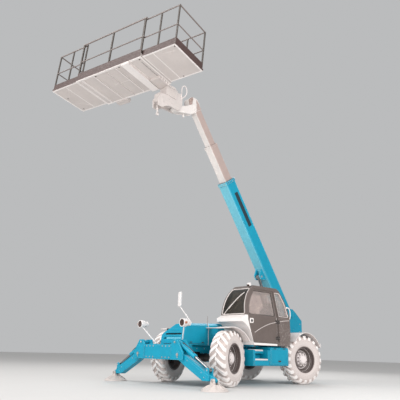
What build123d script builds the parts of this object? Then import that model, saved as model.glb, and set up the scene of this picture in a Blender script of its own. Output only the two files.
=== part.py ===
"""Telescopic handler with a work platform, front stabilisers and a raised boom.

Millimetres.  X forward, Y to the left (cab side), Z up.  The machine is drawn with the
rear axle above X=0 and is then moved so that the origin lies under the middle of its box.
"""
from build123d import *
import os
from math import sin, cos, radians, degrees, atan2, hypot

os.makedirs("parts", exist_ok=True)

# ---------------------------------------------------------------- driving dimensions
ORIGIN_X, ORIGIN_Y = 2345.283, -476.036  # middle of the finished box, in drawing coordinates
WHEELBASE = 2805.0
TRACK = 1965.0
TYRE_R, TYRE_W = 598.0, 400.0
RIM_R = 322.0
KINGPIN_Y = 860.0
FRONT_STEER, REAR_STEER = 18.0, -13.0  # front wheels stand turned to the left, rear ones to the right
RAIL_Y0, RAIL_Y1, RAIL_Z0, RAIL_Z1 = 250.0, 330.0, 720.0, 860.0

BOOM_DEG = 54.4
BOOM_PIVOT = (-620.0, 0.0, 1800.0)
OUTER_W, OUTER_H, OUTER_END = 310.0, 400.0, 4280.0
MIDDLE_W, MIDDLE_H, MIDDLE_START, MIDDLE_END = 240.0, 285.0, 1400.0, 5360.0
INNER_W, INNER_H, INNER_START, INNER_END = 190.0, 235.0, 2500.0, 6560.0
HEAD_S, HEAD_N = 6649.0, -700.0  # level hinge, along and across the boom

LIFT_FOOT = (-350.0, 0.0, 950.0)  # lift cylinder's lower pin
LIFT_EYE_S, LIFT_EYE_N = 1450.0, -340.0  # its upper pin on the boom

DECK_C = (5006.6, -731.7, 7358.8)  # middle of the deck's underside
DECK_YAW, DECK_PITCH = 0.2234, 0.0776  # radians
DECK_L, DECK_W, DECK_H = 4240.0, 1230.0, 100.0
RAIL_TOP = 1200.0
BASE_L, EXT_L = 2240.0, 1050.0
SLEW_A, SLEW_B = -808.0, 934.0  # slew axis in deck coordinates

STAB_X, STAB_Y, STAB_Z = 3886.0, 700.0, 650.0  # stabiliser arm pivot
FOOT_Y, FOOT_Z = 1707.0, 190.0
STAB_CYL = (600.0, 905.0)  # cylinder's upper pin (y, z)
STAB_EYE = (1560.0, 378.0)  # its eye above the arm (y, z)

CAB_Y0, CAB_Y1, CAB_WALL = 340.0, 1150.0, 45.0

# ---------------------------------------------------------------- shared planes
BC, BS = cos(radians(BOOM_DEG)), sin(radians(BOOM_DEG))
BOOM_SIDE = Plane(origin=BOOM_PIVOT, x_dir=(BC, 0, BS), z_dir=(0, -1, 0))


def on_boom(s, n=0.0, y=0.0):
    """Point at s along the boom and n above its centre line."""
    return (BOOM_PIVOT[0] + BC * s - BS * n, y, BOOM_PIVOT[2] + BS * s + BC * n)


def boom_section(s):
    """Plane across the boom at s, with X to the left and Y up."""
    return Plane(origin=on_boom(s), x_dir=(0, 1, 0), z_dir=(BC, 0, BS))


CY, SY, CP, SP = cos(DECK_YAW), sin(DECK_YAW), cos(DECK_PITCH), sin(DECK_PITCH)
DECK = Plane(origin=DECK_C, x_dir=(CY * CP, SY, CY * SP), z_dir=(-SP, 0, CP))
SIDE = Plane(origin=(0, 0, 0), x_dir=(1, 0, 0), z_dir=(0, -1, 0))  # X forward, Y up


def side_at(y):
    """Side plane at y, whose normal points to the right (-Y)."""
    return Plane(origin=(0, y, 0), x_dir=(1, 0, 0), z_dir=(0, -1, 0))


def face_at(x):
    """Front plane at x: local X to the left, local Y up, normal forward."""
    return Plane(origin=(x, 0, 0), x_dir=(0, 1, 0), z_dir=(1, 0, 0))


# ---------------------------------------------------------------- shared shapes
def block(x0, x1, y0, y1, z0, z1, mode=Mode.ADD):
    with Locations(((x0 + x1) / 2, (y0 + y1) / 2, (z0 + z1) / 2)):
        Box(abs(x1 - x0), abs(y1 - y0), abs(z1 - z0), mode=mode)


def plate(plane, pts, depth, mode=Mode.ADD, both=False):
    with BuildSketch(plane) as sk:
        with BuildLine():
            Polyline(*pts, close=True)
        make_face()
    extrude(sk.sketch, amount=depth, both=both, mode=mode)


def bar(p, q, r, mode=Mode.ADD):
    axis = Vector(*q) - Vector(*p)
    with BuildSketch(Plane(origin=p, z_dir=axis)) as sk:
        Circle(r)
    extrude(sk.sketch, amount=axis.length, mode=mode)


def disc(plane, x, y, r, depth, mode=Mode.ADD, both=False):
    with BuildSketch(plane) as sk:
        with Locations((x, y)):
            Circle(r)
    extrude(sk.sketch, amount=depth, both=both, mode=mode)


def tube_section(s0, s1, w, h, rad, mode=Mode.ADD):
    with BuildSketch(boom_section(s0)) as sk:
        RectangleRounded(w, h, rad)
    extrude(sk.sketch, amount=s1 - s0, mode=mode)


pieces = {}

# ---------------------------------------------------------------- chassis
with BuildPart() as chassis_frame:
    for side in (1, -1):
        block(-1000, 3480, side * RAIL_Y0, side * RAIL_Y1, RAIL_Z0, RAIL_Z1)
        for x in (0, WHEELBASE):  # axle saddles under the rails
            block(x - 130, x + 130, side * RAIL_Y0, side * RAIL_Y1, 689, RAIL_Z0)
    for x in (-1000, 420, 1250, 2300, 3330):
        block(x, x + 140, -RAIL_Y0, RAIL_Y0, RAIL_Z0, RAIL_Z1)
    block(560, 2300, -RAIL_Y0, RAIL_Y0, RAIL_Z0, RAIL_Z0 + 12)  # belly plate
    for x in (860, 1900):  # cab outriggers
        block(x, x + 90, RAIL_Y1, 1000, 868, 905)
        block(x, x + 90, RAIL_Y0, RAIL_Y1, RAIL_Z1, 905)
    for side in (1, -1):  # lift cylinder's lugs
        plate(side_at(side * 95 + 15), [(-480, RAIL_Z0), (-220, RAIL_Z0), (-290, 1010), (-410, 1010)], 30)
    block(-480, -220, -RAIL_Y0, RAIL_Y0, RAIL_Z0, RAIL_Z0 + 40)
    bar((LIFT_FOOT[0], -110, LIFT_FOOT[2]), (LIFT_FOOT[0], 110, LIFT_FOOT[2]), 30)
pieces["chassis_frame"] = chassis_frame

with BuildPart() as boom_tower:
    TOWER = [(-1000, RAIL_Z1), (330, RAIL_Z1), (240, 1010), (-180, 1500), (-440, 1860), (-540, 1960),
             (-700, 1960), (-830, 1880), (-1130, 1650), (-1120, 1270), (-1000, 1120)]
    for side in (1, -1):
        plate(side_at(side * 215 + 35), TOWER, 70)
    block(-1080, -1040, -180, 180, 1260, 1500)
    block(-1000, -960, -180, 180, RAIL_Z1, 1260)
    bar((BOOM_PIVOT[0], -290, BOOM_PIVOT[2]), (BOOM_PIVOT[0], 290, BOOM_PIVOT[2]), 60)
pieces["boom_tower"] = boom_tower

with BuildPart() as counterweight:
    plate(face_at(-1000), [(-480, 560), (480, 560), (520, 640), (520, 1060), (440, 1120), (-440, 1120), (-520, 1060), (-520, 640)], -240)
    chamfer(counterweight.faces().sort_by(Axis.X)[0].edges(), 40)
    block(-1120, -1000, -140, 140, 400, 560)
    for z in (420, 500):  # towing jaw
        block(-1345, -1120, -70, 70, z - 20, z + 15)
    with Locations((-1290, 0, 460)):
        Cylinder(21, 200, mode=Mode.SUBTRACT)
pieces["counterweight"] = counterweight

with BuildPart() as front_beam:
    block(3480, 3740, -565, 565, 545, 860)
    block(3740, 3985, -480, 480, 545, 860)
    for side in (1, -1):
        block(3480, 3600, side * RAIL_Y0, side * RAIL_Y1, 860, 862)
        # rear and front cheeks that carry the stabiliser arm and its cylinder
        cheek = [(side * 480, 545), (side * 860, 545), (side * 860, 700), (side * 670, 960), (side * 530, 960), (side * 480, 860)]
        plate(face_at(3740), cheek, 60)
        plate(face_at(3972), cheek, 30)
        block(3740, 4002, side * 480, side * 545, 545, 860)
        bar((3800, side * STAB_Y, STAB_Z), (3972, side * STAB_Y, STAB_Z), 35)
        bar((3800, side * STAB_CYL[0], STAB_CYL[1]), (3972, side * STAB_CYL[0], STAB_CYL[1]), 22)
pieces["front_beam"] = front_beam

# ---------------------------------------------------------------- axles, knuckles and wheels
for name, x in (("front_axle", WHEELBASE), ("rear_axle", 0.0)):
    with BuildPart() as axle:
        bar((x, -730, TYRE_R), (x, 730, TYRE_R), 85)
        with Locations((x, 0, TYRE_R)):
            Sphere(185)  # differential housing
        inward = -1 if x > 100 else 1
        bar((x, 0, TYRE_R), (x + inward * 330, 0, TYRE_R + 20), 60)
        for side in (1, -1):
            block(x - 70, x + 70, side * 720, side * 795, TYRE_R - 172, TYRE_R + 172)
            for z0, z1 in ((137, 172), (-172, -137)):
                block(x - 60, x + 60, side * 795, side * 912, TYRE_R + z0, TYRE_R + z1)
            bar((x, side * KINGPIN_Y, TYRE_R - 150), (x, side * KINGPIN_Y, TYRE_R + 150), 28)
    pieces[name] = axle

with BuildPart() as driveshafts:
    bar((360, 0, TYRE_R + 22), (1180, 0, TYRE_R + 40), 38)
    bar((WHEELBASE - 360, 0, TYRE_R + 22), (1560, 0, TYRE_R + 40), 38)
    block(1180, 1560, -200, 200, 500, RAIL_Z0)  # transfer gearbox under the belly plate
pieces["driveshafts"] = driveshafts

WHEELS = (("front_left", WHEELBASE, 1, FRONT_STEER), ("front_right", WHEELBASE, -1, FRONT_STEER),
          ("rear_left", 0.0, 1, REAR_STEER), ("rear_right", 0.0, -1, REAR_STEER))
OFFSET = TRACK / 2 - KINGPIN_Y
for name, x, side, steer in WHEELS:
    out = Vector(-sin(radians(steer)) * side, cos(radians(steer)) * side, 0)
    king = Vector(x, side * KINGPIN_Y, TYRE_R)
    hub = king + out * OFFSET
    section = Plane(origin=hub, x_dir=out, z_dir=out.cross(Vector(0, 0, 1)))  # local X outward, Y up
    spin = Axis(hub, out)
    with BuildPart() as tyre:
        with BuildSketch(section) as sk:
            with BuildLine():
                Line((-165, RIM_R + 0.5), (165, RIM_R + 0.5))
                ThreePointArc((165, RIM_R + 0.5), (TYRE_W / 2, 440), (172, 566))
                Line((172, 566), (125, TYRE_R))
                Line((125, TYRE_R), (-125, TYRE_R))
                Line((-125, TYRE_R), (-172, 566))
                ThreePointArc((-172, 566), (-TYRE_W / 2, 440), (-165, RIM_R + 0.5))
            make_face()
        revolve(sk.sketch, axis=spin)
    pieces["tyre_" + name] = tyre
    with BuildPart() as rim:
        with BuildSketch(section) as sk:
            with BuildLine():
                Polyline((-180, 297), (-180, RIM_R), (180, RIM_R), (180, 297), (30, 284), (4, 258), (4, 125),
                         (105, 120), (128, 85), (132, 0), (42, 0), (42, 42), (-28, 42), (-28, 280), (-45, 297), close=True)
            make_face()
        revolve(sk.sketch, axis=spin)
    pieces["rim_" + name] = rim
    with BuildPart() as knuckle:
        with Locations(tuple(king)):
            Cylinder(52, 264)
        with BuildSketch(Plane(origin=king, z_dir=out)) as sk:
            Circle(70)
        extrude(sk.sketch, amount=OFFSET - 60)
        with BuildSketch(Plane(origin=king + out * (OFFSET - 62), z_dir=out)) as sk:
            Circle(110)
        extrude(sk.sketch, amount=26)
        with BuildSketch(Plane(origin=king, z_dir=out)) as sk:
            Circle(41)
        extrude(sk.sketch, amount=OFFSET + 34)
        with Locations(tuple(king)):
            Cylinder(28.5, 400, mode=Mode.SUBTRACT)
    pieces["knuckle_" + name] = knuckle

# ---------------------------------------------------------------- covers, mudguards and boxes
def sloping(x0, x1, pts, mode=Mode.ADD):
    """Cover between two cross-sections whose upper edge falls towards the front."""
    sections = []
    for x in (x0, x1):
        with BuildSketch(face_at(x)) as sk:
            with BuildLine():
                Polyline(*[(y, z - 0.045 * (x - 2120) if z > 1000 else z) for y, z in pts], close=True)
            make_face()
        sections.append(sk.sketch)
    loft(sections, ruled=True, mode=mode)


with BuildPart() as front_cover:
    sloping(2120, 3600, [(400, 862), (400, 1345), (330, 1392), (60, 1380), (-330, 1195), (-400, 1140), (-400, 862)])
    sloping(2100, 3490, [(388, 800), (388, 1338), (326, 1381), (63, 1369), (-324, 1186), (-388, 1133), (-388, 800)], Mode.SUBTRACT)
    plate(side_at(600), [(3602, 850), (3760, 850), (3760, 1500), (3505, 1500)], 1200, mode=Mode.SUBTRACT)
    block(2100, 2515, 334, 450, 800, 1450, mode=Mode.SUBTRACT)
    block(2120, 2527, 320, 334, 862, 1366)
    block(2515, 2527, 334, 396, 862, 1322)
    for i in range(3):  # grille slots across the sloping front
        block(3380, 3700, (-300, -260, -100)[i], 300, 985 + 95 * i, 1020 + 95 * i, mode=Mode.SUBTRACT)
pieces["front_cover"] = front_cover

GUARD_R0, GUARD_R1 = 658.0, 674.0
with BuildPart() as mudguards:
    for x, front, back in ((WHEELBASE, 76, 146), (0.0, 40, 152)):
        def rim_point(r, deg):
            return (x + r * cos(radians(deg)), TYRE_R + r * sin(radians(deg)))

        middle = (front + back) / 2
        for side in (1, -1):
            with BuildSketch(side_at(1192 if side > 0 else -792)) as sk:  # arched over the tyre
                with BuildLine():
                    ThreePointArc(rim_point(GUARD_R1, front), rim_point(GUARD_R1, middle), rim_point(GUARD_R1, back))
                    Line(rim_point(GUARD_R1, back), rim_point(GUARD_R0, back))
                    ThreePointArc(rim_point(GUARD_R0, back), rim_point(GUARD_R0, middle), rim_point(GUARD_R0, front))
                    Line(rim_point(GUARD_R0, front), rim_point(GUARD_R1, front))
                make_face()
            extrude(sk.sketch, amount=400)
            inner = 402 if x > 100 else 252
            block(x - 90, x + 90, side * inner, side * 794, TYRE_R + GUARD_R0 - 7, TYRE_R + GUARD_R1 - 8)
pieces["mudguards"] = mudguards

with BuildPart() as step_unit:
    block(1436, 2050, RAIL_Y1, 1120, 440, 800)
    fillet(step_unit.edges().filter_by(Axis.X), 30)
    block(1456, 2030, RAIL_Y1 + 20, 860, 460, 780, mode=Mode.SUBTRACT)
    block(1530, 1990, 880, 1130, 590, 720, mode=Mode.SUBTRACT)
    block(1530, 1990, 980, 1130, 720, 810, mode=Mode.SUBTRACT)
pieces["step_unit"] = step_unit

with BuildPart() as toolbox:
    block(724, 1432, RAIL_Y1, 1120, 440, 866)
    fillet(toolbox.edges().filter_by(Axis.X), 30)
    block(744, 1412, RAIL_Y1 + 20, 1100, 460, 846, mode=Mode.SUBTRACT)
pieces["toolbox"] = toolbox

with BuildPart() as engine_tub:
    block(724, 2056, -1150, -RAIL_Y1, 480, 1000)
    block(736, 2044, -1138, -RAIL_Y1 - 12, 492, 1010, mode=Mode.SUBTRACT)
    block(724, 2056, -RAIL_Y1 - 12, -RAIL_Y1, 1000, 1396)
pieces["engine_tub"] = engine_tub

with BuildPart() as engine_block:
    block(950, 1880, -1000, -460, 494, 1130)
    block(1050, 1780, -900, -560, 1130, 1250)
pieces["engine_block"] = engine_block

with BuildPart() as engine_hood:
    plate(face_at(724), [(-350, 1010), (-350, 1404), (-380, 1415), (-980, 1375), (-1100, 1270), (-1150, 1010)], 1332)
    plate(face_at(736), [(-340, 1000), (-340, 1392), (-380, 1402), (-975, 1363), (-1089, 1264), (-1139, 1000)], 1308, mode=Mode.SUBTRACT)
    for i in range(5):  # cooling slots in the outer flank
        block(980 + 170 * i, 1080 + 170 * i, -1200, -1090, 1060, 1200, mode=Mode.SUBTRACT)
pieces["engine_hood"] = engine_hood

with BuildPart() as lamps:
    for side in (1, -1):
        bar((3678, side * 452, 876), (3880, side * 735, 1230), 14)
        bar((3850, side * 755, 1310), (3955, side * 755, 1310), 82)
        bar((3745, side * 755, 1310), (3850, side * 755, 1310), 62)
        bar((3880, side * 735, 1220), (3880, side * 750, 1290), 14)
        block(-760, -700, side * 900, side * 1110, 935, 1015)  # tail lamps behind the rear mudguards
        bar((-700, side * 1000, 975), (-583, side * 1000, 975), 20)
pieces["lamps"] = lamps

with BuildPart() as mirror:
    block(2420, 2500, -408, -401, 1000, 1100)
    bar((2460, -418, 1010), (2460, -436, 1260), 14)
    block(2445, 2475, -430, -408, 1030, 1070)
    bar((2460, -430, 1245), (2445, -830, 1620), 13)
    bar((2446, -820, 1610), (2440, -1100, 1862), 13)
    with BuildSketch(face_at(2424)) as sk:
        with Locations((-1100, 2044)):
            RectangleRounded(118, 400, 52)
    extrude(sk.sketch, amount=36)
pieces["mirror"] = mirror

# ---------------------------------------------------------------- boom
def boom_side(y):
    """Side plane of the boom at y: local X along the boom, local Y up, normal to the right."""
    return Plane(origin=(BOOM_PIVOT[0], y, BOOM_PIVOT[2]), x_dir=(BC, 0, BS), z_dir=(0, -1, 0))


with BuildPart() as boom_outer:
    tube_section(-260, OUTER_END, OUTER_W, OUTER_H, 25)
    tube_section(320, OUTER_END + 10, OUTER_W - 24, OUTER_H - 24, 15, mode=Mode.SUBTRACT)
    with BuildSketch(boom_section(OUTER_END - 90)) as sk:
        RectangleRounded(OUTER_W + 22, OUTER_H + 22, 25)
        RectangleRounded(MIDDLE_W + 12, MIDDLE_H + 12, 20, mode=Mode.SUBTRACT)
    extrude(sk.sketch, amount=90)
    plate(boom_side(200), [(-270, 60), (-270, 210), (-100, 210)], 400, mode=Mode.SUBTRACT)
    plate(boom_side(200), [(-270, -60), (-270, -210), (-100, -210)], 400, mode=Mode.SUBTRACT)
    disc(boom_side(200), 0, 0, 60.5, 400, mode=Mode.SUBTRACT)
    for y in (102, -70):  # ears for the lift cylinder
        plate(boom_side(y), [(1270, -195), (1630, -195), (1510, -400), (1390, -400)], 32)
pieces["boom_outer"] = boom_outer

with BuildPart() as boom_middle:
    tube_section(MIDDLE_START, MIDDLE_END, MIDDLE_W, MIDDLE_H, 18)
    tube_section(MIDDLE_START - 10, MIDDLE_END + 10, MIDDLE_W - 20, MIDDLE_H - 20, 10, mode=Mode.SUBTRACT)
    with BuildSketch(boom_section(MIDDLE_END - 80)) as sk:
        RectangleRounded(MIDDLE_W + 20, MIDDLE_H + 20, 18)
        RectangleRounded(INNER_W + 12, INNER_H + 12, 16, mode=Mode.SUBTRACT)
    extrude(sk.sketch, amount=80)
pieces["boom_middle"] = boom_middle

HEAD = on_boom(HEAD_S, HEAD_N)
with BuildPart() as boom_inner:
    tube_section(INNER_START, INNER_END, INNER_W, INNER_H, 15)
    tube_section(INNER_START - 10, INNER_END - 120, INNER_W - 20, INNER_H - 20, 8, mode=Mode.SUBTRACT)
    with BuildSketch(boom_side(80)) as sk:  # goose neck that drops to the level hinge
        with BuildLine():
            Polyline((6345, -265), (6345, 135), (6540, 165), (6650, 148), (6735, 70), (6768, -55), (6738, -165), (6640, -198), (6588, -228))
            ThreePointArc((6588, -228), (6602, -400), (6706, -606))
            ThreePointArc((6706, -606), (HEAD_S + 50, HEAD_N - 98), (HEAD_S - 96, HEAD_N - 55))
            ThreePointArc((HEAD_S - 96, HEAD_N - 55), (6440, -500), (6345, -265))
        make_face()
    extrude(sk.sketch, amount=160)
    tube_section(6365, 6430, INNER_W + 26, INNER_H + 26, 12)
    disc(boom_side(120), HEAD_S, HEAD_N, 38.5, 240, mode=Mode.SUBTRACT)
pieces["boom_inner"] = boom_inner

# ---------------------------------------------------------------- lift cylinder
LIFT_EYE = on_boom(LIFT_EYE_S, LIFT_EYE_N)
LDX, LDZ = LIFT_EYE[0] - LIFT_FOOT[0], LIFT_EYE[2] - LIFT_FOOT[2]
LLEN = hypot(LDX, LDZ)
LU = (LDX / LLEN, LDZ / LLEN)


def on_lift(s):
    return (LIFT_FOOT[0] + LU[0] * s, 0.0, LIFT_FOOT[2] + LU[1] * s)


with BuildPart() as lift_cylinder:
    bar(on_lift(50), on_lift(1130), 72)
    bar((LIFT_FOOT[0], -72, LIFT_FOOT[2]), (LIFT_FOOT[0], 72, LIFT_FOOT[2]), 55)
    bar(on_lift(1085), on_lift(1130), 78)
    bar(on_lift(72), on_lift(1140), 46, mode=Mode.SUBTRACT)
    bar((LIFT_FOOT[0], -90, LIFT_FOOT[2]), (LIFT_FOOT[0], 90, LIFT_FOOT[2]), 30.5, mode=Mode.SUBTRACT)
pieces["lift_cylinder"] = lift_cylinder

with BuildPart() as lift_rod:
    bar(on_lift(860), on_lift(LLEN - 20), 45)
    bar((LIFT_EYE[0], -60, LIFT_EYE[2]), (LIFT_EYE[0], 60, LIFT_EYE[2]), 58)
    bar((LIFT_EYE[0], -80, LIFT_EYE[2]), (LIFT_EYE[0], 80, LIFT_EYE[2]), 28, mode=Mode.SUBTRACT)
pieces["lift_rod"] = lift_rod

# ---------------------------------------------------------------- levelling carriage
SLEW = Plane(origin=DECK.from_local_coords((SLEW_A, SLEW_B, 0)), x_dir=(CP, 0, SP), z_dir=(-SP, 0, CP))
with BuildPart() as carriage:
    for y in (125, -95):
        with BuildSketch(side_at(y)) as sk:
            with BuildLine():
                Polyline((3980, 6700), (3860, 6690), (3745, 6715), (3712, 6800), (3692, 6900), (3690, 7120), (3732, 7190), (3900, 7190), (3900, 6995), (4190, 6995), (4400, 6950), (4470, 6800), (4450, 6600), (4330, 6590))
                ThreePointArc((4330, 6590), (4180, 6690), (3980, 6700))
            make_face()
        extrude(sk.sketch, amount=30)
    block(3968, 4440, -95, 95, 6750, 6975)
    with BuildSketch(SLEW.offset(-310)) as sk:
        with Locations((35, 0)):
            RectangleRounded(360, 300, 20)
    extrude(sk.sketch, amount=238)
    disc(SLEW.offset(-72), 0, 0, 60, 66)
    bar((HEAD[0], -125, HEAD[2]), (HEAD[0], 125, HEAD[2]), 38)
    bar((4405, 0, 6760), (4388, 0, 6420), 20)
    with Locations((4388, 0, 6410)):
        Sphere(40)
pieces["carriage"] = carriage


# ---------------------------------------------------------------- work platform
def along_b(a, h, b0, b1, r):
    with Locations((a, (b0 + b1) / 2, h)):
        Cylinder(r, abs(b1 - b0), rotation=(90, 0, 0))


def along_a(b, h, a0, a1, r):
    with Locations(((a0 + a1) / 2, b, h)):
        Cylinder(r, abs(a1 - a0), rotation=(0, 90, 0))


HALF_W, HALF_B, HALF_L = DECK_W / 2, BASE_L / 2, DECK_L / 2
with BuildPart(DECK) as platform_deck:
    block(-HALF_W, HALF_W, -HALF_B, HALF_B, 0, 10)
    block(-505, 505, -HALF_B, HALF_B, 88, DECK_H)
    block(-505, 505, -40, 40, 10, 88)
    for side in (1, -1):
        block(side * 590, side * HALF_W, -HALF_B, HALF_B, 10, DECK_H)
    block(-HALF_W, HALF_W, 503, 733, -62, 0)  # cross beam under the deck
    block(-988, -208, 755, 1061, -66, -4)  # slew arm
    block(-600, -208, 755, 1061, -4, 0)
    disc(SLEW.offset(-66), 0, 0, 165, 62)
    disc(SLEW.offset(-80), 0, 0, 60.5, 100, mode=Mode.SUBTRACT)
    block(-760, -HALF_W, -817, -417, -40, 70)  # control box behind the deck
    for b in (-900, -500, -100, 250):
        block(-560, 560, b - 12, b + 12, -18, 0)
pieces["platform_deck"] = platform_deck

with BuildPart(DECK) as platform_rails:
    for side in (1, -1):
        a = side * 590
        along_b(a, RAIL_TOP - 18, -1110, 1110, 18)
        along_b(a, 620, -1110, 1110, 14)
        for b in (-1090, 0, 1090):
            block(a - 18, a + 18, b - 20, b + 20, DECK_H, RAIL_TOP - 20)
        block(a + side * 8, a + side * 18, -1110, 1110, DECK_H, 240)
pieces["platform_rails"] = platform_rails

for name, side in (("left", 1), ("right", -1)):
    b_in, b_out = side * 1000, side * HALF_L
    with BuildPart(DECK) as ext_deck:
        block(-578, 578, b_in, b_out, 16, 80)
        block(-560, 560, side * 1150, side * (HALF_L - 15), 10, 66, mode=Mode.SUBTRACT)
        for b in (1420, 1760):
            block(-560, 560, side * (b - 15), side * (b + 15), 30, 66)
        block(-578, 578, side * 1130, b_out, 16, 22)
    pieces["extension_deck_" + name] = ext_deck
    with BuildPart(DECK) as ext_rails:
        for s2 in (1, -1):
            a = s2 * 540
            along_b(a, RAIL_TOP - 20, side * 1002, side * (HALF_L - 4), 16)
            along_b(a, 620, side * 1002, side * (HALF_L - 4), 13)
            for b in (1022, 1560, HALF_L - 22):
                block(a - 14, a + 14, side * (b - 18), side * (b + 18), 80, RAIL_TOP - 24)
            block(a + s2 * 6, a + s2 * 14, side * 1002, side * (HALF_L - 4), 80, 225)
        for h, r in ((RAIL_TOP - 20, 16), (620, 13)):
            along_a(side * (HALF_L - 20), h, -540, 540, r)
        block(-548, 548, side * (HALF_L - 14), side * (HALF_L - 4), 80, 225)
    pieces["extension_rails_" + name] = ext_rails

# ---------------------------------------------------------------- stabilisers
CB, CE = STAB_CYL, STAB_EYE
CLEN = hypot(CE[0] - CB[0], CE[1] - CB[1])
CU = ((CE[0] - CB[0]) / CLEN, (CE[1] - CB[1]) / CLEN)


def on_stab(s, side):
    return (STAB_X, side * (CB[0] + CU[0] * s), CB[1] + CU[1] * s)


ARM = [(605, 600), (600, 680), (640, 725), (700, 728), (1715, 236), (1755, 190), (1725, 148), (1690, 150), (1600, 176), (1420, 176), (840, 455), (700, 535)]
for name, side in (("left", 1), ("right", -1)):
    with BuildPart() as arm:
        plate(face_at(STAB_X - 71), [(side * y, z) for y, z in ARM], 142)
        for x0, x1 in ((STAB_X - 80, STAB_X - 37), (STAB_X + 37, STAB_X + 80)):
            block(x0, x1, side * 1600, side * 1800, 100, 320, mode=Mode.SUBTRACT)
        for x0 in (STAB_X - 71, STAB_X + 43):  # ears beside the rod's eye
            plate(face_at(x0), [(side * 1470, 330), (side * 1590, 275), (side * 1590, 400), (side * 1545, 425), (side * 1505, 400)], 28)
        bar((3700, side * STAB_Y, STAB_Z), (4050, side * STAB_Y, STAB_Z), 35.5, mode=Mode.SUBTRACT)
        bar((3700, side * FOOT_Y, FOOT_Z), (4050, side * FOOT_Y, FOOT_Z), 20.5, mode=Mode.SUBTRACT)
    pieces["stabiliser_arm_" + name] = arm
    with BuildPart() as pad:
        with BuildSketch(Plane(origin=(STAB_X, side * FOOT_Y, 0), x_dir=(1, 0, 0), z_dir=(0, -1, 0))) as sk:
            with BuildLine():
                Polyline((0, 0), (268, 0), (268, 20), (112, 112), (0, 112), close=True)
            make_face()
        revolve(sk.sketch, axis=Axis((STAB_X, side * FOOT_Y, 0), (0, 0, 1)))
        for x0 in (STAB_X - 71, STAB_X + 43):
            plate(face_at(x0), [(side * (FOOT_Y - 75), 85), (side * (FOOT_Y + 75), 85), (side * (FOOT_Y + 40), 225), (side * (FOOT_Y - 40), 225)], 28)
        bar((STAB_X - 71, side * FOOT_Y, FOOT_Z), (STAB_X + 71, side * FOOT_Y, FOOT_Z), 20)
    pieces["stabiliser_pad_" + name] = pad
    with BuildPart() as barrel:
        bar(on_stab(30, side), on_stab(610, side), 48)
        bar((STAB_X - 45, side * CB[0], CB[1]), (STAB_X + 45, side * CB[0], CB[1]), 42)
        bar(on_stab(95, side), on_stab(620, side), 31, mode=Mode.SUBTRACT)
        bar((STAB_X - 60, side * CB[0], CB[1]), (STAB_X + 60, side * CB[0], CB[1]), 22.5, mode=Mode.SUBTRACT)
    pieces["stabiliser_cylinder_" + name] = barrel
    with BuildPart() as rod:
        bar(on_stab(445, side), on_stab(CLEN - 10, side), 30)
        bar((STAB_X - 34, side * CE[0], CE[1]), (STAB_X + 34, side * CE[0], CE[1]), 36)
        bar((STAB_X - 50, side * CE[0], CE[1]), (STAB_X + 50, side * CE[0], CE[1]), 18, mode=Mode.SUBTRACT)
    pieces["stabiliser_rod_" + name] = rod

# ---------------------------------------------------------------- cab
WAIST, EAVES = 1575.0, 2236.0


def cab_profile(grow):
    """Side outline of the cab, moved in or out by grow."""
    with BuildSketch() as flat:
        with BuildLine():
            Line((700, 905), (2060, 905))
            Polyline((2060, 905), (2090, 990), (2150, 1123))
            ThreePointArc((2150, 1123), (2275, 1310), (2480, 1420))
            Polyline((2480, 1420), (2488, 1500), (2340, 1569))
            ThreePointArc((2340, 1569), (2270, 1900), (1985, 2250))
            Polyline((1985, 2250), (1900, 2310), (1010, 2315), (930, 2270))
            ThreePointArc((930, 2270), (745, 1960), (665, 1560))
            Polyline((665, 1560), (650, 1100), (700, 905))
        make_face()
        if grow:
            offset(amount=grow, kind=Kind.INTERSECTION)
    return flat.sketch


def cab_solid(grow, mode=Mode.ADD):
    """The cab's outer body, pulled in by -grow on every side."""
    with BuildSketch(side_at(CAB_Y1 + grow)) as sk:
        add(cab_profile(grow))
    extrude(sk.sketch, amount=CAB_Y1 - CAB_Y0 + 2 * grow, mode=mode)


def lean(d0, d1, right=False):
    """Section of a leaning side wall between depths d0 and d1."""
    if right:
        return [(CAB_Y0 + d0, 1560), (CAB_Y0 + d1, 1560), (CAB_Y0 + 50 + d1, 2340), (CAB_Y0 + 50 + d0, 2340)]
    return [(CAB_Y1 - d0, 1560), (CAB_Y1 - d1, 1560), (CAB_Y1 - 150 - d1, 2340), (CAB_Y1 - 150 - d0, 2340)]


def trim_sides(d):
    plate(face_at(500), lean(d, -200), 2300, mode=Mode.SUBTRACT)
    plate(face_at(500), lean(d, -200, True), 2300, mode=Mode.SUBTRACT)


def prism(pts, y_hi, y_lo, grow=0.0, mode=Mode.ADD):
    with BuildSketch(side_at(y_hi)) as sk:
        with BuildLine():
            Polyline(*pts, close=True)
        make_face()
        if grow:
            offset(amount=grow, kind=Kind.INTERSECTION)
    extrude(sk.sketch, amount=y_hi - y_lo, mode=mode)


DOOR = [(1175, 955), (2064, 965), (2130, 1125), (2258, 1480), (2262, 1590), (2205, 1838), (2080, 2060), (1945, 2212), (1238, 2222)]
DOOR_WINDOW = [(1258, 1600), (2222, 1600), (2165, 1840), (2046, 2046), (1930, 2180), (1272, 2190)]
QUARTER = [(710, 1606), (1098, 1606), (1130, 2200), (924, 2200), (784, 1960)]
RIGHT_WINDOW = [(730, 1606), (2190, 1606), (2130, 1850), (1935, 2190), (940, 2190), (800, 1960)]
SCREEN = [(380, 1600), (1106, 1600), (986, 2226), (420, 2226)]
REAR_WINDOW = [(408, 1650), (1048, 1650), (950, 2190), (438, 2190)]

with BuildPart() as cab_outer:
    cab_solid(0)
    trim_sides(0)
with BuildPart() as cab_inside:
    cab_solid(-CAB_WALL)
    trim_sides(CAB_WALL)


def cab_shell(z0, z1):
    add(cab_outer.part)
    add(cab_inside.part, mode=Mode.SUBTRACT)
    block(400, 2700, 200, 1300, z0, z1, mode=Mode.INTERSECT)


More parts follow.
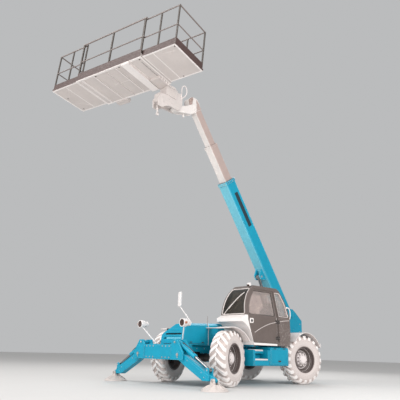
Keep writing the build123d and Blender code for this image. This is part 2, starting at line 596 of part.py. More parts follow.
with BuildPart() as cab_lower:
    cab_shell(880, WAIST)
    prism(DOOR, 1300, CAB_Y1 - CAB_WALL - 6, 6, mode=Mode.SUBTRACT)
pieces["cab_lower"] = cab_lower

with BuildPart() as cab_frame:
    cab_shell(WAIST, EAVES)
    prism(DOOR, 1300, 900, 6, mode=Mode.SUBTRACT)
    plate(face_at(1960), SCREEN, 600, mode=Mode.SUBTRACT)
    plate(face_at(500), REAR_WINDOW, 520, mode=Mode.SUBTRACT)
    prism(QUARTER, 1300, 900, mode=Mode.SUBTRACT)
    prism(RIGHT_WINDOW, 480, 200, mode=Mode.SUBTRACT)
pieces["cab_frame"] = cab_frame

with BuildPart() as cab_roof:
    cab_shell(EAVES, 2400)
pieces["cab_roof"] = cab_roof

with BuildPart() as cab_glass:
    cab_solid(-12)
    cab_solid(-20, mode=Mode.SUBTRACT)
    block(1960, 2600, 200, 1300, WAIST, EAVES, mode=Mode.INTERSECT)
    plate(face_at(1960), SCREEN, 600, mode=Mode.INTERSECT)
with BuildPart() as rear_glass:
    cab_solid(-12)
    cab_solid(-20, mode=Mode.SUBTRACT)
    block(500, 1020, 200, 1300, WAIST, EAVES, mode=Mode.INTERSECT)
    plate(face_at(500), REAR_WINDOW, 520, mode=Mode.INTERSECT)
with BuildPart() as quarter_glass:
    plate(face_at(500), lean(14, 22), 2300)
    prism(QUARTER, 1300, 900, mode=Mode.INTERSECT)
with BuildPart() as right_glass:
    plate(face_at(500), lean(14, 22, True), 2300)
    prism(RIGHT_WINDOW, 480, 200, mode=Mode.INTERSECT)
with BuildPart() as side_glass:
    add(rear_glass.part)
    add(quarter_glass.part)
    add(right_glass.part)
pieces["windscreen"] = cab_glass
pieces["cab_windows"] = side_glass

with BuildPart() as cab_door:
    plate(face_at(500), [(CAB_Y1, 880), (CAB_Y1 - CAB_WALL, 880)] + lean(CAB_WALL, CAB_WALL)[1:3] + lean(0, 0)[3:] + lean(0, 0)[:1], 2300)
    prism(DOOR, 1300, 900, mode=Mode.INTERSECT)
    prism(DOOR_WINDOW, 1300, 900, mode=Mode.SUBTRACT)
pieces["cab_door"] = cab_door

with BuildPart() as door_glass:
    plate(face_at(500), lean(14, 22), 2300)
    prism(DOOR_WINDOW, 1300, 900, mode=Mode.INTERSECT)
pieces["door_glass"] = door_glass

with BuildPart() as dashboard:
    add(cab_inside.part)
    block(2080, 2700, 200, 1092, 1230, 1556, mode=Mode.INTERSECT)
pieces["dashboard"] = dashboard

with BuildPart() as steering_column:
    bar((1975, 745, 985), (1905, 745, 1500), 38)
    COL = Plane(origin=(1893, 745, 1548), x_dir=(0, 1, 0), z_dir=(-135, 0, 550))
    with BuildSketch(COL) as sk:
        Circle(45)
    extrude(sk.sketch, amount=-60)
    with BuildSketch(COL.offset(-14)) as sk:
        Circle(190)
        Circle(162, mode=Mode.SUBTRACT)
        Rectangle(340, 40)
    extrude(sk.sketch, amount=24)
pieces["steering_column"] = steering_column

with BuildPart() as seat_base:
    block(1180, 1560, 560, 930, 950, 1270)
    block(1120, 1600, 500, 990, 950, 975)
pieces["seat_base"] = seat_base

with BuildPart() as seat:
    block(1120, 1620, 510, 980, 1270, 1400)
    plate(side_at(970), [(1020, 1400), (1150, 1400), (1080, 1960), (970, 1960)], 450)
pieces["seat"] = seat

# ---------------------------------------------------------------- write every piece
for node, piece in pieces.items():
    moved = piece.part.moved(Location((-ORIGIN_X, -ORIGIN_Y, 0)))
    moved.label = node
    export_step(moved, "parts/" + node + ".step")
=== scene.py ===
"""Looks of the telescopic handler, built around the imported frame.

Points are given in the drawing's millimetres (X forward, Y left, Z up, rear axle at X=0)
and moved to the frame's metres when a piece is made.
"""
import bmesh
import bpy
import math
import numpy as np
from mathutils import Matrix, Vector


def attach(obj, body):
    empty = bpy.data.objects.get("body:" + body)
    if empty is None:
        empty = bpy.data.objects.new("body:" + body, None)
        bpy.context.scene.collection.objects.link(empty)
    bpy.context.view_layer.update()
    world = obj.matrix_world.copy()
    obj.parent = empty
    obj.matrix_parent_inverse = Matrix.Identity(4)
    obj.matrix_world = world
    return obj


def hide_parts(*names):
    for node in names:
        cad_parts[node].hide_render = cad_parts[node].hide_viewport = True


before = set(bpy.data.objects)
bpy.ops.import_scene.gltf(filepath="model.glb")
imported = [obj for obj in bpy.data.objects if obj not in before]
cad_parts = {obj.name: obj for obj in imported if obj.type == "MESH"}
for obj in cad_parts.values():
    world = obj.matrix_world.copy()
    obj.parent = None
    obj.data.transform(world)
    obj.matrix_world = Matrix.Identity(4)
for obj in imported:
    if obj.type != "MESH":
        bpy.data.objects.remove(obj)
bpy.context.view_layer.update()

OX, OY = 2345.283, -476.036
rng = np.random.default_rng(7)


# ================================================================ geometry helpers
def unit(v):
    v = np.asarray(v, float)
    return v / np.linalg.norm(v)


class Fr:
    """A local frame in drawing millimetres: origin and three axes."""

    def __init__(self, o, x=(1, 0, 0), z=(0, 0, 1)):
        self.o = np.asarray(o, float)
        self.z = unit(z)
        x = np.asarray(x, float)
        x = x - self.z * (x @ self.z)
        self.x = unit(x)
        self.y = np.cross(self.z, self.x)

    def at(self, p):
        p = np.asarray(p, float)
        return self.o + p[..., :1] * self.x + p[..., 1:2] * self.y + p[..., 2:3] * self.z

    def pt(self, x, y, z=0.0):
        return self.o + x * self.x + y * self.y + z * self.z

    def sub(self, x, y, z=0.0, zdir=None, xdir=None):
        """A frame at a local point; zdir and xdir are local directions."""
        f = Fr((0, 0, 0))
        f.o = self.pt(x, y, z)
        zd = (0, 0, 1) if zdir is None else zdir
        zz = zd[0] * self.x + zd[1] * self.y + zd[2] * self.z
        if xdir is None:
            xdir = (1, 0, 0) if abs(unit(zd)[0]) < 0.9 else (0, 1, 0)
        xx = xdir[0] * self.x + xdir[1] * self.y + xdir[2] * self.z
        g = Fr(f.o, xx, zz)
        return g


WORLD = Fr((0, 0, 0))


class Shape:
    """Collects points and faces and makes one mesh."""

    def __init__(self):
        self.v, self.f, self.n, self.s = [], [], 0, []

    def add(self, pts, faces, shade=0.0):
        pts = np.asarray(pts, float).reshape(-1, 3)
        b = self.n
        self.v.append(pts)
        self.s.append(np.broadcast_to(np.asarray(shade, float), (len(pts),)).copy())
        self.f.extend([tuple(b + i for i in f) for f in faces])
        self.n += len(pts)
        return self

    # ---- solids
    def box(self, fr, x0, x1, y0, y1, z0, z1, c=2.0):
        x0, x1 = min(x0, x1), max(x0, x1)
        y0, y1 = min(y0, y1), max(y0, y1)
        z0, z1 = min(z0, z1), max(z0, z1)
        c = min(c, 0.45 * min(x1 - x0, y1 - y0, z1 - z0))
        X, Y, Z = (x0, x1), (y0, y1), (z0, z1)
        pts, idx = [], {}
        for i in (0, 1):
            for j in (0, 1):
                for k in (0, 1):
                    sx, sy, sz = (1 - 2 * i) * c, (1 - 2 * j) * c, (1 - 2 * k) * c
                    idx[i, j, k, 0] = len(pts)
                    pts.append((X[i], Y[j] + sy, Z[k] + sz))
                    idx[i, j, k, 1] = len(pts)
                    pts.append((X[i] + sx, Y[j], Z[k] + sz))
                    idx[i, j, k, 2] = len(pts)
                    pts.append((X[i] + sx, Y[j] + sy, Z[k]))
        faces = []
        order = [(0, 0), (1, 0), (1, 1), (0, 1)]
        for side in (0, 1):
            fx = [idx[side, a, b, 0] for a, b in order]
            fy = [idx[b, side, a, 1] for a, b in order]
            fz = [idx[a, b, side, 2] for a, b in order]
            for f in (fx, fy, fz):
                faces.append(tuple(f if side else f[::-1]))
        for a in (0, 1):
            for b in (0, 1):
                e = (idx[a, b, 0, 0], idx[a, b, 1, 0], idx[a, b, 1, 1], idx[a, b, 0, 1])
                faces.append(e if (a == b) else e[::-1])
                e = (idx[0, a, b, 1], idx[1, a, b, 1], idx[1, a, b, 2], idx[0, a, b, 2])
                faces.append(e if (a == b) else e[::-1])
                e = (idx[b, 0, a, 2], idx[b, 1, a, 2], idx[b, 1, a, 0], idx[b, 0, a, 0])
                faces.append(e if (a == b) else e[::-1])
        for i in (0, 1):
            for j in (0, 1):
                for k in (0, 1):
                    t = (idx[i, j, k, 0], idx[i, j, k, 1], idx[i, j, k, 2])
                    faces.append(t if (i + j + k) % 2 == 1 else t[::-1])
        return self.add(fr.at(np.array(pts)), faces)

    def lathe(self, fr, prof, n=32, a0=0.0, shade=None):
        """Turns a profile of (t, r) about the frame's z, with t along z.  Ends at r=0 close to a point."""
        prof = [(float(t), float(r)) for t, r in prof]
        ang = a0 + np.linspace(0, 2 * np.pi, n, endpoint=False)
        rings, pts, sh = [], [], []
        for i, (t, r) in enumerate(prof):
            v = 0.0 if shade is None else shade[i]
            if r < 1e-6:
                rings.append([len(pts)])
                pts.append((0, 0, t))
                sh.append(v)
            else:
                rings.append(list(range(len(pts), len(pts) + n)))
                pts.extend(zip(r * np.cos(ang), r * np.sin(ang), np.full(n, t)))
                sh.extend([v] * n)
        faces = []
        for A, B in zip(rings[:-1], rings[1:]):
            for k in range(n):
                k2 = (k + 1) % n
                if len(A) == 1 and len(B) == 1:
                    continue
                if len(A) == 1:
                    faces.append((A[0], B[k2], B[k]))
                elif len(B) == 1:
                    faces.append((A[k], A[k2], B[0]))
                else:
                    faces.append((A[k], A[k2], B[k2], B[k]))
        return self.add(fr.at(np.array(pts)), faces, sh)

    def ring(self, fr, prof, n=32):
        """A closed profile turned about z, as for a torus."""
        ang = np.linspace(0, 2 * np.pi, n, endpoint=False)
        m = len(prof)
        pts = []
        for t, r in prof:
            pts.extend(zip(r * np.cos(ang), r * np.sin(ang), np.full(n, float(t))))
        faces = []
        for i in range(m):
            j = (i + 1) % m
            for k in range(n):
                k2 = (k + 1) % n
                faces.append((i * n + k, i * n + k2, j * n + k2, j * n + k))
        return self.add(fr.at(np.array(pts)), faces)

    def rod(self, p, q, r, n=12, c=1.5):
        """A capped round bar with eased ends."""
        p, q = np.asarray(p, float), np.asarray(q, float)
        L = np.linalg.norm(q - p)
        z = (q - p) / L
        x = (0, 0, 1) if abs(z[2]) < 0.9 else (1, 0, 0)
        c = min(c, r * 0.5, L * 0.3)
        return self.lathe(Fr(p, x, z), [(0, 0), (0, r - c), (c, r), (L - c, r), (L, r - c), (L, 0)], n)

    def tube(self, pts, r, n=10, closed=False):
        """A round tube along a list of points."""
        P = np.asarray(pts, float)
        m = len(P)
        T = np.zeros_like(P)
        for i in range(m):
            a = P[(i - 1) % m] if (closed or i > 0) else P[i]
            b = P[(i + 1) % m] if (closed or i < m - 1) else P[i]
            T[i] = unit(b - a)
        ref = np.array((0, 0, 1.0)) if abs(T[0][2]) < 0.9 else np.array((1.0, 0, 0))
        u = unit(np.cross(T[0], ref))
        ang = np.linspace(0, 2 * np.pi, n, endpoint=False)
        out = []
        for i in range(m):
            u = unit(u - T[i] * (u @ T[i]))
            w = np.cross(T[i], u)
            out.append(P[i] + r * (np.cos(ang)[:, None] * u + np.sin(ang)[:, None] * w))
        faces = []
        for i in range(m if closed else m - 1):
            j = (i + 1) % m
            for k in range(n):
                k2 = (k + 1) % n
                faces.append((i * n + k, i * n + k2, j * n + k2, j * n + k))
        if not closed:
            faces.append(tuple(range(n))[::-1])
            faces.append(tuple((m - 1) * n + k for k in range(n)))
        return self.add(np.vstack(out), faces)

    def prism(self, fr, poly, z0, z1, c=0.0):
        """A polygon (counter-clockwise in the frame's x, y) between z0 and z1, its top edge eased by c."""
        poly = np.asarray(poly, float)
        area = 0.5 * np.sum(poly[:, 0] * np.roll(poly[:, 1], -1) - np.roll(poly[:, 0], -1) * poly[:, 1])
        if area < 0:
            poly = poly[::-1]
        m = len(poly)
        layers = [(poly, z0)]
        if c > 0:
            inner = inset(poly, c)
            layers += [(poly, z1 - c), (inner, z1)]
        else:
            layers += [(poly, z1)]
        pts = np.vstack([np.c_[q, np.full(m, z)] for q, z in layers])
        faces = [tuple(range(m))[::-1]]
        for L in range(len(layers) - 1):
            for k in range(m):
                k2 = (k + 1) % m
                faces.append((L * m + k, L * m + k2, (L + 1) * m + k2, (L + 1) * m + k))
        faces.append(tuple((len(layers) - 1) * m + k for k in range(m)))
        return self.add(fr.at(pts), faces)

    def bolt(self, fr, r=10.0, h=7.0, washer=True):
        """A hexagon head with a washer, standing on the frame's xy plane."""
        if washer:
            self.lathe(fr, [(0, r * 1.45), (1.8, r * 1.45), (2.4, r * 1.35), (2.4, 0)], 14)
        a = np.linspace(0, 2 * np.pi, 6, endpoint=False)
        z0 = 2.0 if washer else 0.0
        hexa = np.c_[r * np.cos(a), r * np.sin(a)]
        return self.prism(fr, hexa, z0, z0 + h, 0.16 * r)

    def pin(self, fr, r, h):
        """The capped end of a pivot pin."""
        self.lathe(fr, [(0, r), (h - 3, r), (h, r - 3), (h, r * 0.35), (h - 4, r * 0.3), (h - 4, 0)], 24)
        return self

    def make(self, name, material, body, slot, sharp=35.0, replaces=(), smooth=True):
        v = np.vstack(self.v)
        co = np.c_[(v[:, 0] - OX) / 1000.0, (v[:, 1] - OY) / 1000.0, v[:, 2] / 1000.0]
        me = bpy.data.meshes.new(name)
        me.from_pydata(co.tolist(), [], self.f)
        me.validate()
        # per-point shade values, stored for the materials that paint shade with them
        s = np.concatenate(self.s).astype(np.float32)
        if len(s) == len(me.vertices) and s.any():
            at = me.attributes.new("shade", "FLOAT", "POINT")
            at.data.foreach_set("value", s)
        tidy(me)
        if smooth:
            me.shade_smooth()
            me.set_sharp_from_angle(angle=math.radians(sharp))
        ob = bpy.data.objects.new(name, me)
        bpy.context.scene.collection.objects.link(ob)
        me.materials.append(material)
        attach(ob, body)
        if replaces:
            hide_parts(*replaces)
        return ob


def tidy(me):
    """Welds seams, caps open ends and turns every shell's faces outward."""
    bm = bmesh.new()
    bm.from_mesh(me)
    bmesh.ops.remove_doubles(bm, verts=bm.verts[:], dist=1e-6)
    ends = [e for e in bm.edges if e.is_boundary]
    if ends:
        bmesh.ops.holes_fill(bm, edges=ends, sides=0)
    bmesh.ops.recalc_face_normals(bm, faces=bm.faces[:])
    bm.to_mesh(me)
    bm.free()


def inset(poly, c):
    """Moves a counter-clockwise polygon's edges inward by c."""
    n = len(poly)
    out = np.zeros_like(poly)
    for i in range(n):
        a, b, d = poly[i - 1], poly[i], poly[(i + 1) % n]
        e1, e2 = unit(b - a), unit(d - b)
        n1, n2 = np.array((-e1[1], e1[0])), np.array((-e2[1], e2[0]))
        k = unit(n1 + n2)
        out[i] = b + k * c / max(0.3, k @ n1)
    return out


def arc(cx, cy, r, a0, a1, n):
    t = np.radians(np.linspace(a0, a1, n))
    return [(cx + r * math.cos(x), cy + r * math.sin(x)) for x in t]


def smooth_path(pts, n=8):
    """A curve through the points."""
    P = np.asarray(pts, float)
    Q = np.vstack([2 * P[0] - P[1], P, 2 * P[-1] - P[-2]])
    out = []
    for i in range(1, len(Q) - 2):
        for t in np.linspace(0, 1, n, endpoint=False):
            a, b, c, d = Q[i - 1], Q[i], Q[i + 1], Q[i + 2]
            out.append(0.5 * (2 * b + (c - a) * t + (2 * a - 5 * b + 4 * c - d) * t * t + (3 * b - a - 3 * c + d) * t ** 3))
    out.append(P[-1])
    return np.array(out)


# ================================================================ materials
def lin(r, g, b):
    def one(c):
        c = c / 255.0
        return c / 12.92 if c <= 0.04045 else ((c + 0.055) / 1.055) ** 2.4
    return (one(r), one(g), one(b), 1.0)


class Nodes:
    def __init__(self, name):
        self.m = bpy.data.materials.new(name)
        self.m.use_nodes = True
        self.t = self.m.node_tree
        self.bsdf = self.t.nodes.get("Principled BSDF")
        tc = self.t.nodes.new("ShaderNodeTexCoord")
        self.co, self.normal = tc.outputs["Object"], tc.outputs["Normal"]

    def new(self, kind, **props):
        n = self.t.nodes.new(kind)
        for k, v in props.items():
            setattr(n, k, v)
        return n

    def link(self, a, b):
        self.t.links.new(a, b)

    def noise(self, scale, detail=4.0, rough=0.55, vec=None):
        n = self.new("ShaderNodeTexNoise")
        n.inputs["Scale"].default_value = scale
        n.inputs["Detail"].default_value = detail
        n.inputs["Roughness"].default_value = rough
        self.link(vec or self.co, n.inputs["Vector"])
        return n.outputs["Fac"]

    def span(self, value, a, b, c, d):
        n = self.new("ShaderNodeMapRange", clamp=True)
        self.link(value, n.inputs["Value"])
        for k, x in zip(("From Min", "From Max", "To Min", "To Max"), (a, b, c, d)):
            n.inputs[k].default_value = x
        return n.outputs["Result"]

    def math(self, op, a, b):
        n = self.new("ShaderNodeMath", operation=op)
        for i, x in enumerate((a, b)):
            if isinstance(x, (int, float)):
                n.inputs[i].default_value = x
            else:
                self.link(x, n.inputs[i])
        return n.outputs[0]

    def mix(self, fac, a, b):
        n = self.new("ShaderNodeMix", data_type="RGBA")
        self.link(fac, n.inputs["Factor"])
        for k, x in (("A", a), ("B", b)):
            s = [i for i in n.inputs if i.name == k and i.type == "RGBA"][0]
            if isinstance(x, tuple):
                s.default_value = x
            else:
                self.link(x, s)
        return [o for o in n.outputs if o.type == "RGBA"][0]


def finish_material(name, base, edge=None, edge_amount=0.7, edge_mm=5.0, dark=0.82, rough=(0.35, 0.55), metal=0.0,
                    coat=0.0, grain=180.0, bump=0.12, blotch=2.4, spec=0.5, grime=None, zones=(), stretch=None, shade=None, faces=()):
    """A surface with two scales of colour change, lighter edges (a painted highlight along the edges, broken up by
    noise like wear), grain in roughness and bump.

    zones: (axis, from, to, colour) repaints a range of the row frame, in metres.
    faces: (direction, colour, limits) repaints the faces that look along a direction of the piece itself."""
    k = Nodes(name)
    b = k.bsdf
    b.inputs["Metallic"].default_value = metal
    b.inputs["Specular IOR Level"].default_value = spec
    if coat:
        b.inputs["Coat Weight"].default_value = coat
        b.inputs["Coat Roughness"].default_value = 0.12
    vec = None
    if stretch:
        mp = k.new("ShaderNodeMapping")
        mp.inputs["Scale"].default_value = stretch
        k.link(k.co, mp.inputs["Vector"])
        vec = mp.outputs["Vector"]
    big = k.noise(blotch, 5.0, 0.6, vec)
    fine = k.noise(grain, 3.0, 0.5, vec)
    mid = k.noise(blotch * 9.0, 4.0, 0.65, vec)
    low = tuple(c * dark for c in base[:3]) + (1.0,)
    colour = k.mix(k.span(big, 0.32, 0.68, 0.0, 1.0), low, base)
    if zones:
        xyz = k.new("ShaderNodeSeparateXYZ")
        k.link(k.co, xyz.inputs[0])
        for tests, col in zones:
            fac = None
            for axis, lo_, hi_ in tests:
                s = xyz.outputs["XYZ".index(axis)]
                one = k.math("MULTIPLY", k.math("GREATER_THAN", s, lo_), k.math("LESS_THAN", s, hi_))
                fac = one if fac is None else k.math("MULTIPLY", fac, one)
            lowz = tuple(c * dark for c in col[:3]) + (1.0,)
            colour = k.mix(fac, colour, k.mix(k.span(big, 0.32, 0.68, 0.0, 1.0), lowz, col))
    for way, col, *limit in faces:
        dn = k.new("ShaderNodeVectorMath", operation="DOT_PRODUCT")
        k.link(k.normal, dn.inputs[0])
        dn.inputs[1].default_value = way
        lowf = tuple(c * dark for c in col[:3]) + (1.0,)
        fac = k.span(dn.outputs["Value"], 0.45, 0.8, 0.0, 1.0)
        for axis, lo_, hi_ in limit:
            part = k.new("ShaderNodeSeparateXYZ")
            k.link(k.co, part.inputs[0])
            s = part.outputs["XYZ".index(axis)]
            fac = k.math("MULTIPLY", fac, k.math("MULTIPLY", k.math("GREATER_THAN", s, lo_), k.math("LESS_THAN", s, hi_)))
        colour = k.mix(fac, colour, k.mix(k.span(big, 0.32, 0.68, 0.0, 1.0), lowf, col))
    # painted shade: the colour moves to the shade colour where the mesh's shade value is low
    if shade:
        at = k.new("ShaderNodeAttribute", attribute_name="shade")
        colour = k.mix(k.span(at.outputs["Fac"], 0.0, 1.0, 0.0, 1.0), shade, colour)
    if grime:
        g = k.math("MULTIPLY", k.span(mid, 0.5, 0.78, 0.0, 0.55), k.span(big, 0.35, 0.65, 0.2, 1.0))
        colour = k.mix(g, colour, grime)
    bev = None
    # painted highlight along the edges: the bevel normal finds the edges, and noise breaks the line up like wear
    if edge:
        bev = k.new("ShaderNodeBevel", samples=4)
        bev.inputs["Radius"].default_value = edge_mm / 1000.0
        geo = k.new("ShaderNodeNewGeometry")
        dot = k.new("ShaderNodeVectorMath", operation="DOT_PRODUCT")
        k.link(bev.outputs["Normal"], dot.inputs[0])
        k.link(geo.outputs["Normal"], dot.inputs[1])
        mask = k.span(dot.outputs["Value"], 0.985, 0.86, 0.0, edge_amount)
        mask = k.math("MULTIPLY", mask, k.span(mid, 0.3, 0.62, 0.35, 1.0))
        colour = k.mix(mask, colour, edge)
    k.link(colour, b.inputs["Base Color"])
    r = k.math("ADD", k.span(mid, 0.3, 0.7, rough[0], rough[1]), k.span(fine, 0.3, 0.7, -0.04, 0.04))
    k.link(r, b.inputs["Roughness"])
    bp = k.new("ShaderNodeBump")
    bp.inputs["Strength"].default_value = bump
    bp.inputs["Distance"].default_value = 0.002
    k.link(k.math("ADD", fine, k.math("MULTIPLY", mid, 0.6)), bp.inputs["Height"])
    if bev:
        k.link(bev.outputs["Normal"], bp.inputs["Normal"])
    k.link(bp.outputs["Normal"], b.inputs["Normal"])
    return k.m


def glass_material(name, tint, rough=0.03, weight=0.9):
    k = Nodes(name)
    b = k.bsdf
    b.inputs["Transmission Weight"].default_value = weight
    b.inputs["IOR"].default_value = 1.45
    film = k.noise(6.0, 4.0, 0.6)
    spots = k.noise(60.0, 3.0, 0.6)
    low = tuple(c * 0.86 for c in tint[:3]) + (1.0,)
    k.link(k.mix(k.span(film, 0.3, 0.7, 0.0, 1.0), low, tint), b.inputs["Base Color"])
    k.link(k.math("ADD", k.span(film, 0.4, 0.75, rough, rough + 0.06), k.span(spots, 0.6, 0.8, 0.0, 0.05)), b.inputs["Roughness"])
    return k.m


# the second colour given to each paint is its edge colour: a painted highlight along the edges, partly wear
CYAN, CYAN_EDGE = lin(0, 150, 180), lin(140, 222, 236)
PALE, WHITE = lin(226, 219, 215), lin(240, 233, 230)
TAUPE = lin(104, 92, 87)
MAT = {
    "cyan_paint": finish_material("cyan_paint", CYAN, CYAN_EDGE, 0.8, 6.0, 0.86, (0.34, 0.5), coat=0.08, bump=0.05, spec=0.3, grime=lin(6, 118, 150)),
    "pale_paint": finish_material("pale_paint", PALE, lin(252, 248, 246), 0.7, 5.0, 0.9, (0.36, 0.52), coat=0.12, bump=0.06, grime=lin(186, 172, 166)),
    "white_shell": finish_material("white_shell", WHITE, lin(255, 253, 252), 0.5, 5.0, 0.93, (0.3, 0.45), coat=0.2, bump=0.05, grime=lin(222, 212, 208)),
    "taupe_panel": finish_material("taupe_panel", TAUPE, lin(190, 178, 172), 0.75, 5.0, 0.85, (0.4, 0.58), bump=0.08, grime=lin(84, 72, 68)),
    "rail_paint": finish_material("rail_paint", lin(70, 62, 56), lin(150, 138, 132), 0.6, 4.0, 0.8, (0.42, 0.6), bump=0.1, grime=lin(96, 82, 74)),
    "toe_brown": finish_material("toe_brown", lin(74, 52, 48), lin(140, 118, 112), 0.6, 4.0, 0.8, (0.42, 0.6), bump=0.1),
    "rail_light": finish_material("rail_light", lin(128, 116, 112), lin(196, 186, 182), 0.7, 4.0, 0.85, (0.35, 0.5), bump=0.08),
    "deck_metal": finish_material("deck_metal", lin(210, 201, 197), lin(250, 246, 244), 0.7, 5.0, 0.9, (0.4, 0.55), metal=0.0, bump=0.1, grime=lin(196, 184, 178), blotch=1.6),
    "glass_smoked": glass_material("glass_smoked", lin(246, 231, 225), 0.03, 0.78),
    "glass_dark": glass_material("glass_dark", lin(104, 100, 90)),
    # tyre: its shade colour is painted shade, laid on where the mesh's shade values are low
    "tyre_white": finish_material("tyre_white", lin(242, 236, 233), lin(255, 252, 250), 0.5, 8.0, 0.92, (0.62, 0.8), bump=0.3, grain=90.0, spec=0.3, grime=lin(206, 192, 186), shade=lin(196, 182, 177)),
    "rim_dark": finish_material("rim_dark", lin(104, 92, 89), lin(206, 196, 192), 0.8, 5.0, 0.78, (0.34, 0.5), metal=0.1, bump=0.08),
    "hub_white": finish_material("hub_white", lin(234, 224, 222), lin(255, 252, 250), 0.6, 4.0, 0.9, (0.36, 0.5), bump=0.08, grime=lin(190, 176, 172)),
    "steel_dark": finish_material("steel_dark", lin(74, 68, 66), lin(168, 160, 156), 0.8, 4.0, 0.75, (0.36, 0.55), metal=0.5, bump=0.1, grime=lin(60, 48, 42)),
    "bolt_steel": finish_material("bolt_steel", lin(186, 178, 174), lin(240, 236, 234), 0.7, 2.0, 0.8, (0.28, 0.42), metal=0.6, bump=0.06),
    "engine_alloy": finish_material("engine_alloy", lin(146, 140, 138), lin(210, 206, 204), 0.7, 4.0, 0.8, (0.4, 0.6), metal=0.4, bump=0.2, grime=lin(92, 84, 80)),
    "guard_pale": finish_material("guard_pale", lin(222, 213, 210), lin(255, 252, 250), 0.6, 5.0, 0.92, (0.5, 0.66), bump=0.12, grime=lin(204, 192, 188)),
    "rod_chrome": finish_material("rod_chrome", lin(150, 152, 154), lin(220, 220, 220), 0.3, 2.0, 0.92, (0.2, 0.3), metal=1.0, bump=0.015, grain=300.0, stretch=(1.0, 1.0, 0.15)),
    "seat_cover": finish_material("seat_cover", lin(46, 41, 38), None, 0.0, 2.0, 0.8, (0.7, 0.86), bump=0.35, grain=420.0, spec=0.25),
    "interior_plastic": finish_material("interior_plastic", lin(126, 108, 104), lin(176, 160, 156), 0.5, 4.0, 0.85, (0.5, 0.66), bump=0.15, grain=260.0),
    "lamp_shell": finish_material("lamp_shell", lin(226, 220, 218), lin(255, 253, 252), 0.6, 3.0, 0.9, (0.34, 0.48), bump=0.06),
    "lamp_dark": finish_material("lamp_dark", lin(62, 36, 26), lin(140, 100, 84), 0.5, 3.0, 0.7, (0.12, 0.25), coat=0.5, bump=0.05),
    "rubber": finish_material("rubber", lin(34, 31, 29), lin(70, 66, 62), 0.4, 2.0, 0.8, (0.6, 0.78), bump=0.2, spec=0.3),
    "trim_light": finish_material("trim_light", lin(226, 216, 212), lin(255, 252, 250), 0.5, 2.0, 0.9, (0.4, 0.55), bump=0.06),
    "mirror_glass": finish_material("mirror_glass", lin(200, 204, 206), None, 0.0, 2.0, 0.95, (0.03, 0.07), metal=1.0, bump=0.0),
    "black_slot": finish_material("black_slot", lin(22, 30, 34), lin(40, 60, 66), 0.4, 2.0, 0.8, (0.5, 0.7), bump=0.1),
    "lens_clear": glass_material("lens_clear", lin(236, 232, 228), 0.05, 0.95),
    "lens_amber": finish_material("lens_amber", lin(70, 140, 190), lin(160, 210, 235), 0.4, 2.0, 0.85, (0.12, 0.22), coat=0.5, bump=0.03),
}
# pale cyan for the painted highlight on the grille
MAT["cyan_highlight"] = finish_material("cyan_highlight", lin(120, 208, 230), lin(210, 242, 250), 0.6, 4.0, 0.9, (0.34, 0.5), spec=0.3, bump=0.05)
MAT["carriage_paint"] = finish_material("carriage_paint", lin(210, 201, 197), lin(246, 241, 238), 0.85, 6.0, 0.84, (0.38, 0.55), coat=0.08, bump=0.08, grime=lin(150, 134, 127))
MAT["foot_white"] = finish_material("foot_white", lin(208, 198, 193), lin(240, 234, 231), 0.7, 5.0, 0.88, (0.42, 0.58), bump=0.12, grime=lin(186, 170, 162))
MAT["lens_brown"] = finish_material("lens_brown", lin(164, 104, 76), lin(214, 170, 150), 0.5, 3.0, 0.85, (0.14, 0.26), coat=0.4, bump=0.04)
MAT["stripe_dark"] = finish_material("stripe_dark", lin(20, 44, 54), lin(60, 100, 112), 0.4, 2.0, 0.85, (0.4, 0.55), bump=0.05)
MAT["valve_brown"] = finish_material("valve_brown", lin(168, 146, 138), lin(226, 212, 206), 0.7, 4.0, 0.8, (0.4, 0.58), bump=0.12, grime=lin(120, 98, 90))
# boom paints with painted light and shade: the outer section's underside is painted paler than its flanks as a painted
# highlight, and the inner sections' flanks are painted darker as painted shade
UNDER = (math.sin(math.radians(54.4)), 0.0, -math.cos(math.radians(54.4)))
# the underside colour is a painted highlight
MAT["boom_cyan"] = finish_material("boom_cyan", CYAN, CYAN_EDGE, 0.8, 6.0, 0.88, (0.34, 0.5), coat=0.08, bump=0.05, spec=0.3, grime=lin(6, 118, 150), faces=[(UNDER, lin(116, 194, 212))])
# the flank colour is painted shade
MAT["boom_pale"] = finish_material("boom_pale", PALE, lin(252, 248, 246), 0.7, 5.0, 0.9, (0.36, 0.52), coat=0.1, bump=0.06, grime=lin(186, 172, 166),
                                   faces=[((0.0, 1.0, 0.0), lin(176, 156, 149)), ((0.0, -1.0, 0.0), lin(176, 156, 149))])
# the flank colour is painted shade, only below drawing X 3150 mm
MAT["boom_inner_pale"] = finish_material("boom_inner_pale", PALE, lin(252, 248, 246), 0.7, 5.0, 0.9, (0.36, 0.52), coat=0.1, bump=0.06, grime=lin(186, 172, 166),
                                         faces=[((0.0, 1.0, 0.0), lin(176, 156, 149), ("X", -9.0, (3150 - OX) / 1000)),
                                                ((0.0, -1.0, 0.0), lin(176, 156, 149), ("X", -9.0, (3150 - OX) / 1000))])
MAT["rib_white"] = finish_material("rib_white", lin(238, 231, 228), lin(252, 248, 246), 0.5, 3.0, 0.93, (0.36, 0.5), bump=0.06, grime=lin(216, 206, 202))
MAT["boom_side_pale"] = finish_material("boom_side_pale", lin(206, 196, 191), lin(246, 240, 238), 0.7, 4.0, 0.9, (0.36, 0.52), bump=0.06, grime=lin(176, 160, 154))
MAT["post_dark"] = finish_material("post_dark", lin(78, 65, 60), lin(150, 136, 130), 0.6, 4.0, 0.85, (0.4, 0.56), bump=0.08)
# the cab's shell is pale in front and taupe behind the door line; its front posts are taupe too
MAT["cab_shell"] = finish_material("cab_shell", WHITE, lin(255, 253, 252), 0.5, 5.0, 0.93, (0.32, 0.46), coat=0.2, bump=0.05, grime=lin(222, 212, 208),
                                   zones=[([("X", -9.0, (1196 - OX) / 1000)], TAUPE)])

